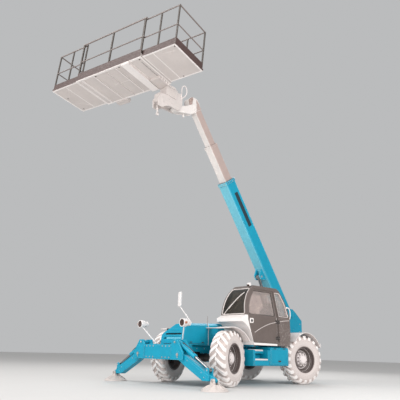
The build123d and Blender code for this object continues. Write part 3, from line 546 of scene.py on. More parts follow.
NODE_MAT = {
    "boom_tower": "cyan_paint", "cab_frame": "taupe_panel", "cab_lower": "cab_shell", "cab_roof": "taupe_panel", "cab_windows": "glass_smoked",
    "chassis_frame": "cyan_paint", "counterweight": "cyan_paint", "dashboard": "interior_plastic", "driveshafts": "steel_dark",
    "engine_block": "engine_alloy", "engine_tub": "cyan_paint", "front_axle": "steel_dark", "front_beam": "cyan_paint", "front_cover": "cyan_paint",
    "lamps": "lamp_shell", "mirror": "lamp_shell", "mudguards": "guard_pale", "rear_axle": "steel_dark", "seat": "seat_cover",
    "seat_base": "interior_plastic", "steering_column": "interior_plastic", "step_unit": "cyan_paint", "toolbox": "cyan_paint", "windscreen": "glass_dark",
    "boom_outer": "boom_cyan", "boom_middle": "boom_pale", "boom_inner": "boom_inner_pale", "lift_cylinder": "cyan_paint", "lift_rod": "rod_chrome",
    "carriage": "carriage_paint", "platform_deck": "deck_metal", "platform_rails": "rail_paint", "cab_door": "taupe_panel", "door_glass": "glass_smoked",
    "engine_hood": "cyan_paint",
}
for w in ("front_left", "front_right", "rear_left", "rear_right"):
    NODE_MAT["tyre_" + w], NODE_MAT["rim_" + w], NODE_MAT["knuckle_" + w] = "tyre_white", "rim_dark", "steel_dark"
for s in ("left", "right"):
    NODE_MAT["extension_deck_" + s], NODE_MAT["extension_rails_" + s] = "deck_metal", "rail_paint"
    NODE_MAT["stabiliser_arm_" + s], NODE_MAT["stabiliser_pad_" + s] = "cyan_paint", "foot_white"
    NODE_MAT["stabiliser_cylinder_" + s], NODE_MAT["stabiliser_rod_" + s] = "cyan_paint", "rod_chrome"
for node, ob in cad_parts.items():
    ob.data.materials.clear()
    ob.data.materials.append(MAT[NODE_MAT[node]])

# ================================================================ wheels
N_LUG = 20
CARCASS = [(-166, 324), (-178, 338), (-184, 358), (-190, 380), (-193, 384), (-194, 420), (-193, 452), (-196, 456), (-194, 474), (-190, 478), (-182, 512),
           (-170, 536), (-150, 550), (-110, 557), (-50, 560), (0, 561)]
CARCASS = CARCASS + [(-t, r) for t, r in CARCASS[-2::-1]]
LUG = [(-16, 596, 552), (28, 598, 552), (76, 598, 550), (122, 597, 547), (150, 586, 536), (170, 566, 518), (184, 534, 500), (192, 500, 488)]


def tyre(S, fr, lead):
    # the shade values paint shade into the tyre: low on the carcass, darkest across the tread between the lugs
    S.lathe(fr, CARCASS + [(150, 323), (-150, 323), CARCASS[0]], 96, shade=[0.35] * 6 + [0.25] * 4 + [0.0] * (len(CARCASS) - 20) + [0.25] * 4 + [0.35] * 6 + [0.3] * 3)
    for side in (1, -1):
        for i in range(N_LUG):
            th0 = 2 * math.pi * (i + (0.5 if side < 0 else 0.0)) / N_LUG
            pts, sh = [], []
            for t, rt, rb in LUG:
                u = min(1.0, max(0.0, (t + 16) / 190.0))
                th = th0 + lead * 0.30 * u ** 1.1
                half = 33.0 + 11.0 * u
                # painted shade on the lugs: dark at their bases, light on their tops
                for rr, hw, s in ((rb, half + 9, 0.1), (rt - 6, half + 1, 0.75), (rt, half - 5, 1.0), (rt, -half + 5, 1.0), (rt - 6, -half - 1, 0.75), (rb, -half - 9, 0.1)):
                    a = th + hw / 580.0
                    pts.append((rr * math.cos(a), rr * math.sin(a), side * t))
                    sh.append(s)
            faces = []
            for k in range(len(LUG) - 1):
                for j in range(5):
                    q = (k * 6 + j, k * 6 + j + 1, (k + 1) * 6 + j + 1, (k + 1) * 6 + j)
                    faces.append(q if side > 0 else q[::-1])
            a0, a1 = tuple(range(6)), tuple((len(LUG) - 1) * 6 + j for j in range(6))
            faces.append(a0[::-1] if side > 0 else a0)
            faces.append(a1 if side > 0 else a1[::-1])
            base = [(k * 6 + 5, k * 6, (k + 1) * 6, (k + 1) * 6 + 5) for k in range(len(LUG) - 1)]
            faces.extend(q if side > 0 else q[::-1] for q in base)
            S.add(fr.at(np.array(pts)), faces, sh)
    for side in (1, -1):  # fine bars round the sidewall
        for i in range(60):
            a = 2 * math.pi * i / 60
            f = fr.sub(0, 0, 0, (0, 0, side), (math.cos(a), math.sin(a), 0))
            S.box(f, 388, 448, -5, 5, 190, 195.5, 1.5)


WHEELS = {"front_left": ((2767.145, 976.504, 598), (-0.309017, 0.951057, 0)), "front_right": ((2842.855, -976.504, 598), (0.309017, -0.951057, 0)),
          "rear_left": ((27.556, 979.360, 598), (0.224951, 0.974370, 0)), "rear_right": ((-27.556, -979.360, 598), (-0.224951, -0.974370, 0))}
for w, (c, ax) in WHEELS.items():
    fr = Fr(c, (0, 0, 1), ax)
    body = "wheel_" + w
    S = Shape()
    tyre(S, fr, 1.0 if "left" in w else -1.0)
    S.make("tyre_lugged_" + w, MAT["tyre_white"], body, "tyre_white", 28, ("tyre_" + w,))
    R = Shape()
    R.lathe(fr, [(180, 298), (180, 322), (176, 325), (168, 325), (162, 321), (150, 314), (120, 310), (60, 308), (-60, 308), (-150, 314), (-162, 321), (-168, 325),
                 (-176, 325), (-180, 322), (-180, 298), (-160, 298), (-140, 302), (-45, 298), (-30, 284), (-28, 262), (-28, 44), (4, 44), (4, 196), (10, 200), (10, 226), (5, 230),
                 (5, 252), (12, 264), (26, 268), (30, 276), (58, 280), (62, 288), (100, 290), (104, 297), (140, 300), (160, 298), (180, 298)], 72)
    for i in range(8):  # stiffening ribs behind the dish
        a = 2 * math.pi * (i + 0.5) / 8
        f = fr.sub(0, 0, 0, (0, 0, 1), (math.cos(a), math.sin(a), 0))
        R.prism(Fr(f.pt(0, -7, 0), f.x, f.y * -1.0), [(184, 4), (250, 5), (262, 26), (250, 20)], -14, 0, 0)
    R.make("rim_dish_" + w, MAT["rim_dark"], body, "rim_dark", 30, ("rim_" + w,))
    H = Shape()
    H.lathe(fr, [(4.5, 0), (4.5, 178), (14, 178), (18, 174), (54, 168), (62, 164), (66, 154), (68, 130), (84, 128), (90, 122), (104, 120), (112, 112), (126, 88), (130, 84), (132, 40), (133, 36), (133, 0)], 48)
    N = Shape()
    for i in range(10):
        a = 2 * math.pi * i / 10
        f = fr.sub(144 * math.cos(a), 144 * math.sin(a), 64)
        N.lathe(f, [(0, 0), (0, 17), (4, 17), (5, 12), (26, 11), (28, 8), (28, 0)], 10)
    for i in range(8):
        a = 2 * math.pi * (i + 0.25) / 8
        N.bolt(fr.sub(103 * math.cos(a), 103 * math.sin(a), 115.5), 8.5, 6, False)
    H.make("hub_" + w, MAT["hub_white"], body, "tyre_white", 30)
    N.make("hub_nuts_" + w, MAT["rim_dark"], body, "rim_dark", 30)
    G = Shape()
    G.lathe(fr, [(9, 203), (11.5, 203), (11.5, 223), (9, 223), (9, 203)], 60)
    G.lathe(fr, [(57, 277), (64, 277), (64, 283), (57, 283), (57, 277)], 60)
    G.make("rim_rings_" + w, MAT["hub_white"], body, "tyre_white", 30)
    V = Shape()
    a = 0.9
    V.rod(fr.pt(284 * math.cos(a), 284 * math.sin(a), 62), fr.pt(262 * math.cos(a), 262 * math.sin(a), 92), 5, 8)
    V.rod(fr.pt(263 * math.cos(a), 263 * math.sin(a), 90), fr.pt(257 * math.cos(a), 257 * math.sin(a), 99), 6.5, 8)
    V.make("valve_" + w, MAT["rubber"], body, "rim_dark")

# ================================================================ cab
def put(name, S, mat, body, slot, **kw):
    return S.make(name, MAT[mat], body, slot, **kw)


def rounded(poly, r, n=4):
    """A closed outline with eased corners."""
    P = np.asarray(poly, float)
    out = []
    m = len(P)
    for i in range(m):
        a, b, c = P[i - 1], P[i], P[(i + 1) % m]
        k = min(r, 0.45 * np.linalg.norm(a - b), 0.45 * np.linalg.norm(c - b))
        p, q = b + unit(a - b) * k, b + unit(c - b) * k
        for t in np.linspace(0, 1, n):
            out.append((1 - t) ** 2 * p + 2 * t * (1 - t) * b + t * t * q)
    return np.array(out)


def on_left(x, z, off=0.0):
    return np.array((x, 1150 - max(0.0, z - 1560) * 150 / 780 + off, z))


def on_right(x, z, off=0.0):
    return np.array((x, 340 + max(0.0, z - 1560) * 50 / 780 - off, z))


def circle3(p, q, r):
    ax, ay, bx, by, cx, cy = *p, *q, *r
    d_ = 2 * (ax * (by - cy) + bx * (cy - ay) + cx * (ay - by))
    ux = ((ax * ax + ay * ay) * (by - cy) + (bx * bx + by * by) * (cy - ay) + (cx * cx + cy * cy) * (ay - by)) / d_
    uy = ((ax * ax + ay * ay) * (cx - bx) + (bx * bx + by * by) * (ax - cx) + (cx * cx + cy * cy) * (bx - ax)) / d_
    return ux, uy, math.hypot(ax - ux, ay - uy)


SX, SZ, SR_ = circle3((2340, 1569), (2270, 1900), (1985, 2250))
RX, RZ, RR_ = circle3((930, 2270), (745, 1960), (665, 1560))


def on_screen(y, z, off=0.0):
    return np.array((SX + math.sqrt((SR_ + off) ** 2 - (z - SZ) ** 2), y, z))


def on_rear(y, z, off=0.0):
    return np.array((RX - math.sqrt((RR_ + off) ** 2 - (z - RZ) ** 2), y, z))


DOOR = [(1175, 955), (2064, 965), (2130, 1125), (2258, 1480), (2262, 1590), (2205, 1838), (2080, 2060), (1945, 2212), (1238, 2222)]
DOOR_WINDOW = [(1258, 1600), (2222, 1600), (2165, 1840), (2046, 2046), (1930, 2180), (1272, 2190)]
QUARTER = [(710, 1606), (1098, 1606), (1130, 2200), (924, 2200), (784, 1960)]
RIGHT_WINDOW = [(730, 1606), (2190, 1606), (2130, 1850), (1935, 2190), (940, 2190), (800, 1960)]


def dense(path, step=60.0):
    """Adds points along a closed outline so that it can follow a bent surface."""
    P = np.asarray(path, float)
    out = []
    for i in range(len(P)):
        a, b = P[i], P[(i + 1) % len(P)]
        k = max(1, int(np.linalg.norm(b - a) / step))
        out += [a + (b - a) * t for t in np.linspace(0, 1, k, endpoint=False)]
    return np.array(out)


S = Shape()  # door glass seal and the bead round the door
S.tube([on_left(x, z, -9) for x, z in dense(rounded(DOOR_WINDOW, 60))], 9, 8, True)
put("door_glass_seal", S, "rubber", "cab_door", "interior_plastic")
S = Shape()
S.tube([on_left(x, z, -3) for x, z in dense(rounded(inset(np.array(DOOR, float), 22.0), 30))], 5, 8, True)
put("door_edge_bead", S, "taupe_panel", "cab_door", "taupe_panel")
S = Shape()  # pressed lower panel of the door with its curved upper crease
low_panel = [(1215, 985), (2045, 993), (2098, 1112), (2080, 1150), (2025, 1180), (1860, 1258), (1671, 1335), (1460, 1400), (1238, 1448), (1215, 1450)]
S.prism(Fr((0, 1149.5, 0), (-1, 0, 0), (0, 1, 0)), [(-x, z) for x, z in low_panel], 0, 9, 8)
put("door_lower_panel", S, "taupe_panel", "cab_door", "taupe_panel")
S = Shape()
S.tube(smooth_path([on_left(x, z, 5) for x, z in ((2040, 1188), (1860, 1272), (1671, 1350), (1460, 1414), (1225, 1463))], 6), 6.5, 8)
put("door_crease", S, "trim_light", "cab_door", "white_shell")
S = Shape()
S.tube(smooth_path([on_left(x, z, 3) for x, z in ((1085, 1484), (930, 1508), (783, 1522), (700, 1530))], 6), 6.5, 8)
put("shell_crease", S, "trim_light", "chassis", "white_shell")
S = Shape()  # door handle
fr = Fr(on_left(2150, 1450), (-1, 0, 0), (0, 1, 0))
S.prism(fr, rounded([(-64, -58), (64, -52), (66, 58), (-58, 56)], 22), -4, 16, 5)
put("door_handle_plate", S, "white_shell", "cab_door", "white_shell")
S = Shape()
S.lathe(fr.sub(0, 0, 10), [(0, 0), (0, 34), (7, 34), (7.5, 33), (7.5, 0)], 28)
put("door_handle_recess", S, "black_slot", "cab_door", "interior_plastic")
S = Shape()
S.lathe(fr.sub(0, 0, 15), [(0, 0), (0, 17), (9, 17), (12, 13), (12, 0)], 20)
put("door_handle_lever", S, "steel_dark", "cab_door", "steel_dark")
S = Shape()  # door hinges
for z in (1085, 1470):
    S.rod((1166, 1160, z - 55), (1166, 1160, z + 55), 8.5, 14)
    S.box(WORLD, 1169, 1262, 1152.5, 1159, z - 40, z + 40, 2.5)
    for dx in (1200, 1240):
        S.bolt(Fr((dx, 1159, z), (1, 0, 0), (0, 1, 0)), 8, 5)
put("door_hinges", S, "steel_dark", "cab_door", "steel_dark")
S = Shape()
for z in (1085, 1470):
    S.box(WORLD, 1085, 1150, 1150, 1157, z - 40, z + 40, 3)
    for dx in (1102, 1132):
        S.bolt(Fr((dx, 1157, z), (1, 0, 0), (0, 1, 0)), 8, 5)
put("door_hinge_plates", S, "steel_dark", "chassis", "steel_dark")

S = Shape()  # dark rear post beside the door
rows = []
for z in np.linspace(985, 2215, 22):
    t = (z - 955) / (2222 - 955)
    x1 = 1160 + 62 * t
    rows.append((x1 - 66 + 12 * t, x1, z))
for k in range(len(rows) - 1):
    (xa, xb, za), (xc, xd, zc) = rows[k], rows[k + 1]
    pts = [on_left(xa, za, -4), on_left(xb, za, -4), on_left(xd, zc, -4), on_left(xc, zc, -4),
           on_left(xa + 5, za, 5), on_left(xb - 5, za, 5), on_left(xd - 5, zc, 5), on_left(xc + 5, zc, 5)]
    S.add(pts, [(7, 6, 5, 4), (4, 5, 1, 0), (5, 6, 2, 1), (6, 7, 3, 2), (7, 4, 0, 3), (0, 1, 2, 3)])
put("rear_post", S, "post_dark", "chassis", "taupe_panel")

S = Shape()  # seals of the fixed windows
S.tube([on_left(x, z, -8) for x, z in dense(rounded(QUARTER, 50))], 9, 8, True)
S.tube([on_right(x, z, -8) for x, z in dense(rounded(RIGHT_WINDOW, 60))], 9, 8, True)
SCREEN = [(380, 1600), (1106, 1600), (986, 2226), (420, 2226)]
REARW = [(408, 1650), (1048, 1650), (950, 2190), (438, 2190)]
S.tube([on_screen(y, z, -5) for y, z in dense(rounded(SCREEN, 40))], 10, 8, True)
S.tube([on_rear(y, z, -5) for y, z in dense(rounded(REARW, 40))], 9, 8, True)
put("window_seals", S, "trim_light", "chassis", "white_shell")

S = Shape()  # wiper
P0, P1 = on_screen(470, 1600, 30), on_screen(790, 1930, 34)
S.rod((P0[0] - 34, P0[1], P0[2] - 4), (P0[0] + 12, P0[1], P0[2]), 16, 14)
S.tube([on_screen(470 + 320 * t, 1600 + 330 * t, 32 + 6 * math.sin(math.pi * t)) for t in np.linspace(0, 1, 12)], 8, 8)
put("wiper_arm", S, "trim_light", "chassis", "white_shell")
S = Shape()
S.tube([on_screen(600 + 330 * t, 1735 + 385 * t, 12) for t in np.linspace(0, 1, 16)], 9, 8)
S.tube([on_screen(640 + 250 * t, 1782 + 292 * t, 25) for t in np.linspace(0, 1, 12)], 6, 8)
put("wiper_blade", S, "trim_light", "chassis", "white_shell")

S = Shape()  # roof beads, gutter and work lamps
for y in (470, 610, 750, 890):
    S.tube([(1870, y, 2309), (1700, y, 2311.5), (1040, y, 2315.5)], 9, 8)
S.tube([on_left(x, 2236, 4) for x in np.linspace(985, 1975, 12)], 8, 8)
S.tube([on_right(x, 2236, 4) for x in np.linspace(985, 1975, 12)], 8, 8)
put("roof_beads", S, "taupe_panel", "chassis", "taupe_panel")
S = Shape()
for y in (930,):
    S.box(Fr((1975, y, 2318), (0.8, 0, -0.6), (0.6, 0, 0.8)), -38, 38, -46, 46, -26, 44, 8)
put("roof_lamp_shells", S, "lamp_shell", "chassis", "lamp_shell")
S = Shape()
for y in (930,):
    S.box(Fr((1975, y, 2318), (0.8, 0, -0.6), (0.6, 0, 0.8)), 34, 44, -38, 38, -18, 36, 4)
put("roof_lamp_faces", S, "lamp_dark", "chassis", "lamp_shell")

S = Shape()  # grab tube behind the cab
S.tube(smooth_path([(712, 1075, 1850), (630, 1082, 1856), (572, 1085, 1800), (556, 1085, 1700), (572, 1085, 1600), (625, 1082, 1556), (668, 1075, 1552)], 7), 15, 12)
for p, q in (((735, 1072, 1849), (700, 1076, 1851)), ((688, 1073, 1552), (652, 1077, 1552))):
    S.rod(p, q, 27, 16)
put("rear_grab_tube", S, "white_shell", "chassis", "white_shell")

S = Shape()  # cab interior: binnacle, levers, floor mat, arm rest
S.box(Fr((2120, 745, 1500), (0.94, 0, 0.34), (-0.34, 0, 0.94)), -70, 40, -150, 150, -40, 62, 14)
S.box(Fr((1640, 470, 1290), (1, 0, 0), (0, 0, 1)), -190, 150, -55, 55, -300, 30, 12)
S.box(WORLD, 1660, 2060, 420, 1060, 951, 962, 4)
put("cab_consoles", S, "interior_plastic", "chassis", "interior_plastic")
S = Shape()
for i, (x, y) in enumerate(((1700, 450), (1700, 490), (1580, 470))):
    S.tube(smooth_path([(x, y, 1315), (x + 10, y, 1380), (x + 18, y + 4, 1450)], 5), 7, 8)
    S.lathe(Fr((x + 18, y + 4, 1448), (1, 0, 0), (0, 0, 1)), [(0, 8), (6, 17), (24, 20), (40, 16), (48, 8), (50, 0)], 14)
for y in (640, 850):
    S.box(Fr((1990, y, 1010), (0.8, 0, 0.6), (-0.6, 0, 0.8)), -55, 55, -32, 32, -6, 8, 5)
    S.rod((1990, y, 1010), (2050, y, 960), 9, 8)
put("cab_levers", S, "rubber", "chassis", "interior_plastic")
S = Shape()  # thick grip on the steering wheel's rim
col = Fr((1893, 745, 1548), (0, 1, 0), (-135, 0, 550))
ring = [col.pt(176 * math.cos(t), 176 * math.sin(t), -2) for t in np.linspace(0, 2 * math.pi, 40, endpoint=False)]
S.tube(ring, 16.5, 10, True)
S.lathe(col, [(9, 0), (9, 52), (14, 48), (18, 30), (19, 0)], 20)
put("steering_grip", S, "rubber", "chassis", "interior_plastic")


def cushion(name, fr, lx, ly, lz, crown, seams, n=28):
    """A stuffed pad: a rounded block with a crowned top, puffed sides, welts round its edges and sewn channels."""
    u = np.linspace(-1, 1, n)
    S = Shape()

    def surf(a, b, c):
        """Maps a cube point to the pad's skin."""
        p = np.array((a, b, c))
        e = 5.0
        m = (np.abs(p) ** e).sum() ** (1 / e)
        q = p / m
        x, y, z = q * 1.0
        puff = 1.0 + 0.03 * (1 - x * x) * (1 - y * y)
        h = z * lz * (1 + 0.0 * puff)
        if z > 0:
            h += crown * z * (1 - x ** 4) * (1 - y ** 4)
            for axis, pos, w_, dep in seams:
                t = x if axis == 0 else y
                h -= dep * z * math.exp(-((t - pos) / w_) ** 2)
        bulge = 1.0 + 0.03 * (1 - z * z)
        return np.array((x * lx * bulge, y * ly * bulge, h))

    for axis in range(3):
        for sgn in (-1, 1):
            pts, faces = [], []
            for i in range(n):
                for j in range(n):
                    p = [0, 0, 0]
                    p[axis] = sgn
                    p[(axis + 1) % 3], p[(axis + 2) % 3] = u[i], u[j]
                    pts.append(surf(*p))
            for i in range(n - 1):
                for j in range(n - 1):
                    q = (i * n + j, (i + 1) * n + j, (i + 1) * n + j + 1, i * n + j + 1)
                    faces.append(q if sgn > 0 else q[::-1])
            S.add(fr.at(np.array(pts)), faces)
    ob = S.make(name, MAT["seat_cover"], "chassis", "seat_cover", 80)
    import bmesh
    bm = bmesh.new()
    bm.from_mesh(ob.data)
    bmesh.ops.remove_doubles(bm, verts=bm.verts, dist=0.0004)
    bmesh.ops.recalc_face_normals(bm, faces=bm.faces)
    bm.to_mesh(ob.data)
    bm.free()
    W = Shape()  # welt round the top edge
    loop = []
    for t in np.linspace(0, 2 * math.pi, 72, endpoint=False):
        cx_, cy_ = math.cos(t), math.sin(t)
        k = (abs(cx_) ** 5 + abs(cy_) ** 5) ** (-1 / 5)
        loop.append(fr.pt(cx_ * k * lx * 0.972, cy_ * k * ly * 0.972, lz * 0.80))
    W.tube(loop, 4.5, 8, True)
    put(name + "_welt", W, "rubber", "chassis", "seat_cover")
    return ob


pad = cushion("seat_cushion", Fr((1372, 745, 1333), (1, 0, 0), (0, 0, 1)), 236, 222, 54, 14, [(0, -0.35, 0.05, 8), (0, 0.3, 0.05, 8), (1, -0.62, 0.05, 7), (1, 0.62, 0.05, 7)])
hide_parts("seat")
lean_ax = unit(np.array((-62, 0, 560)))
cushion("seat_backrest", Fr((1076, 745, 1620), tuple(-lean_ax), (lean_ax[2], 0, -lean_ax[0])), 215, 212, 46, 12, [(0, -0.45, 0.045, 8), (0, 0.1, 0.045, 8), (0, 0.55, 0.045, 8), (1, -0.64, 0.05, 7), (1, 0.64, 0.05, 7)])
cushion("seat_headrest", Fr((1046, 745, 1893), tuple(-lean_ax), (lean_ax[2], 0, -lean_ax[0])), 62, 128, 40, 8, [(1, 0.0, 0.05, 3)], 18)
S = Shape()
for y in (690, 800):
    S.rod((1052, y, 1815), (1046, y, 1850), 8, 8)
S.box(WORLD, 1150, 1590, 540, 950, 1268, 1284, 5)
put("seat_frame", S, "steel_dark", "chassis", "steel_dark")

# ================================================================ shared frames for the details
BC, BS = math.cos(math.radians(54.4)), math.sin(math.radians(54.4))
BOOM = Fr((-620, 0, 1800), (BC, 0, BS), (-BS, 0, BC))  # x along the boom, y to the left, z across it
DCY, DSY, DCP, DSP = math.cos(0.2234), math.sin(0.2234), math.cos(0.0776), math.sin(0.0776)
DK = Fr((5006.6, -731.7, 7358.8), (DCY * DCP, DSY, DCY * DSP), (-DSP, 0, DCP))
NOSE = Fr((3602, 0, 850), (0, 1, 0), (0.98905, 0, 0.14760))  # x to the left, y up the slope, z forward


def up(z):
    return (z - 850) / 0.98905


def outward(x, y, z, side):
    """A frame on a left (side 1) or right (side -1) face: x back or forward, y up, z outward."""
    return Fr((x, y, z), (-side, 0, 0), (0, side, 0))


def loop(S, fr, poly, r, z=0.0, n=8):
    S.tube([fr.pt(x, y, z) for x, y in poly], r, n, True)


# ================================================================ nose
S = Shape()  # dark plate behind the grille and dark fins in its slots, painted shade so the slots read dark; a dark rubber strip low on the nose
S.box(WORLD, 3468, 3486, -330, 330, 955, 1225, 3)
for z in (1088, 1106):
    S.box(NOSE, -256, 296, up(z) - 3, up(z) + 3, -78, -10, 1)
S.box(NOSE, -275, 176, up(866), up(882), -2, 3, 1)
put("grille_dark", S, "black_slot", "chassis", "interior_plastic")
# pale cyan bar between the grille's dark slots: a painted highlight
S = Shape()
S.box(NOSE, -207, 298, up(989), up(1016), -40, 3, 3)
put("grille_highlight_bar", S, "cyan_highlight", "chassis", "cyan_paint")
S = Shape()  # pressed panels of the sloping front
S.prism(NOSE, rounded([(-108, up(1164)), (312, up(1164)), (312, up(1224)), (-96, up(1224))], 14), -2, 6, 5)
S.prism(NOSE, rounded([(-350, up(896)), (270, up(896)), (270, up(968)), (-350, up(968))], 18), -2, 5, 4)
for z in (1046, 1142):
    S.box(NOSE, -290 if z < 1100 else -180, 306, up(z) - 6, up(z) + 6, -2, 7, 4)
put("nose_panels", S, "cyan_paint", "chassis", "cyan_paint")
S = Shape()
f = NOSE.sub(318, up(902))
S.lathe(f, [(-3, 0), (-3, 36), (8, 36), (12, 33), (12, 25), (6, 23), (6, 0)], 28)
S.tube([(2820, 401, 866), (2820, 401, 1313), (2820, 331, 1361), (2820, 61, 1349), (2820, -331, 1164), (2820, -401, 1109), (2820, -401, 866)], 5, 8)
put("nose_lamp_and_seam", S, "trim_light", "chassis", "white_shell")
S = Shape()
S.lathe(f, [(5, 0), (5, 23), (8, 21), (11, 12), (12, 0)], 24)
put("nose_lamp_lens", S, "lens_clear", "chassis", "glass_smoked")
S = Shape()
S.rod((2845, 388, 1300), (2845, 392, 1532), 5.5, 10)
S.lathe(Fr((2845, 388, 1296), (1, 0, 0), (0, 0, 1)), [(0, 0), (0, 24), (10, 24), (22, 12), (34, 9), (34, 0)], 16)
put("nose_marker_rod", S, "rail_light", "chassis", "steel_dark")
S = Shape()  # seams and latches of the cover
for side in (1, -1):
    f = outward(3180, side * 400, 900, side)
    S.box(f, -250, 250, -12, -4, -1, 3, 1)
    for dx in (-180, 180):
        S.box(f, dx - 34, dx + 34, 14, 34, -1, 9, 3)
        S.lathe(f.sub(dx, 24, 8), [(0, 0), (0, 8), (5, 7), (6, 0)], 12)
put("nose_latches", S, "steel_dark", "chassis", "steel_dark")

# ================================================================ lamps and mirror
B, L, I = Shape(), Shape(), Shape()
for side in (1, -1):
    f = Fr((3955, side * 755, 1310), (0, 1, 0), (1, 0, 0))
    B.ring(f, [(-44, 81), (-44, 88), (4, 90), (9, 87), (10, 75), (3, 72), (-8, 74), (-8, 81)], 44)
    for x in (-190, -165, -140):
        B.ring(f, [(x, 60), (x, 66), (x + 10, 66), (x + 10, 60)], 36)
    B.box(Fr((3880, side * 752, 1240), (1, 0, 0), (0, 0, 1)), -24, 24, -20, 20, -18, 6, 4)
    B.ring(Fr((3680, side * 455, 879), (0, 1, 0), (202, side * 283, 354)), [(-4, 13), (-4, 30), (8, 30), (14, 22), (14, 13)], 18)
    L.lathe(f, [(0, 0), (0, 74), (4, 73), (8, 52), (10, 26), (10.5, 0)], 40)
    I.box(f, 84 * side, 128 * side, -24, 24, -52, -4, 9)
    for x in (-28, 28):  # ribs of the lens
        L.ring(f, [(7, abs(x)), (7, abs(x) + 3), (11, abs(x) + 3), (11, abs(x))], 36)
put("headlamp_bezels", B, "lamp_shell", "chassis", "lamp_shell")
put("headlamp_lenses", L, "lamp_dark", "chassis", "lamp_shell")
put("front_indicators", I, "lens_brown", "chassis", "lamp_shell")
A, R = Shape(), Shape()
for side in (1, -1):
    f = Fr((-760, side * 1005, 975), (0, 1, 0), (-1, 0, 0))
    R.box(f, -100, -4, -34, 34, -2, 8, 4)
    A.box(f, 4, 52, -34, 34, -2, 8, 4)
    A.box(f, 58, 100, -34, 34, -2, 7, 4)
    for i in range(5):
        R.box(f, -92 + 18 * i, -86 + 18 * i, -30, 30, 6, 10, 1)
put("tail_lens_inner", R, "lamp_dark", "chassis", "lamp_shell")
put("tail_lens_outer", A, "lens_amber", "chassis", "lamp_shell")
S = Shape()
S.prism(Fr((2424, -1100, 2044), (0, 1, 0), (-1, 0, 0)), rounded([(-50, -191), (50, -191), (50, 191), (-50, 191)], 46, 6), -1, 3, 1)
put("mirror_face", S, "mirror_glass", "chassis", "glass_smoked")
S = Shape()
S.prism(Fr((2460, -1100, 2044), (0, 1, 0), (1, 0, 0)), rounded([(-57, -198), (57, -198), (57, 198), (-57, 198)], 50, 6), -2, 14, 13)
S.lathe(Fr((2446, -826, 1616), (1, 0, 0), (-4, -270, 244)), [(-22, 0), (-22, 17), (-18, 20), (18, 20), (22, 17), (22, 0)], 18)
S.box(Fr((2440, -1098, 1855), (1, 0, 0), (0, 0, 1)), -20, 20, -26, 26, -20, 26, 7)
for z in (1018, 1082):
    S.bolt(Fr((2434, -408, z), (1, 0, 0), (0, -1, 0)), 6, 5)
    S.bolt(Fr((2487, -408, z), (1, 0, 0), (0, -1, 0)), 6, 5)
put("mirror_back", S, "lamp_shell", "chassis", "lamp_shell")

# ================================================================ front beam and stabilisers
S = Shape()  # weld beads and flanges of the beam
for side in (1, -1):
    S.tube([(3986, side * 479, 552), (3986, side * 479, 856)], 6, 8)
    S.tube([(4003, side * y, z) for y, z in ((486, 548), (852, 548), (852, 698), (666, 954), (534, 954), (486, 858))], 5, 8, True)
    S.tube([(3480, side * 332, 862), (3600, side * 332, 864)], 5, 8)
    f = Fr((4002, side * 700, 650), (0, 1, 0), (1, 0, 0))
    S.lathe(f, [(-1, 0), (-1, 74), (5, 74), (8, 70), (8, 0)], 32)
    f = Fr((4002, side * 600, 905), (0, 1, 0), (1, 0, 0))
    S.lathe(f, [(-1, 0), (-1, 46), (5, 46), (8, 42), (8, 0)], 28)
S.box(WORLD, 3486, 3734, -562, 562, 537, 546, 3)
S.prism(Fr((3985, 0, 702), (0, 1, 0), (1, 0, 0)), rounded([(-440, -128), (440, -128), (440, 128), (-440, 128)], 30), -1, 5, 4)
put("beam_welds", S, "cyan_paint", "chassis", "cyan_paint")
S = Shape()
for side in (1, -1):
    f = Fr((4010, side * 700, 650), (0, 1, 0), (1, 0, 0))
    S.pin(f, 34, 15)
    S.box(f, -14, 14, -66, -38, -1, 6, 3)
    S.bolt(f.sub(0, -52, 6), 8, 5)
    f = Fr((4010, side * 600, 905), (0, 1, 0), (1, 0, 0))
    S.pin(f, 22, 12)
    for y in (400, 280, 160):
        S.bolt(Fr((3990, side * y, 586), (0, 1, 0), (1, 0, 0)), 11, 8)
        S.bolt(Fr((3990, side * y, 818), (0, 1, 0), (1, 0, 0)), 11, 8)
put("beam_pins", S, "bolt_steel", "chassis", "steel_dark")

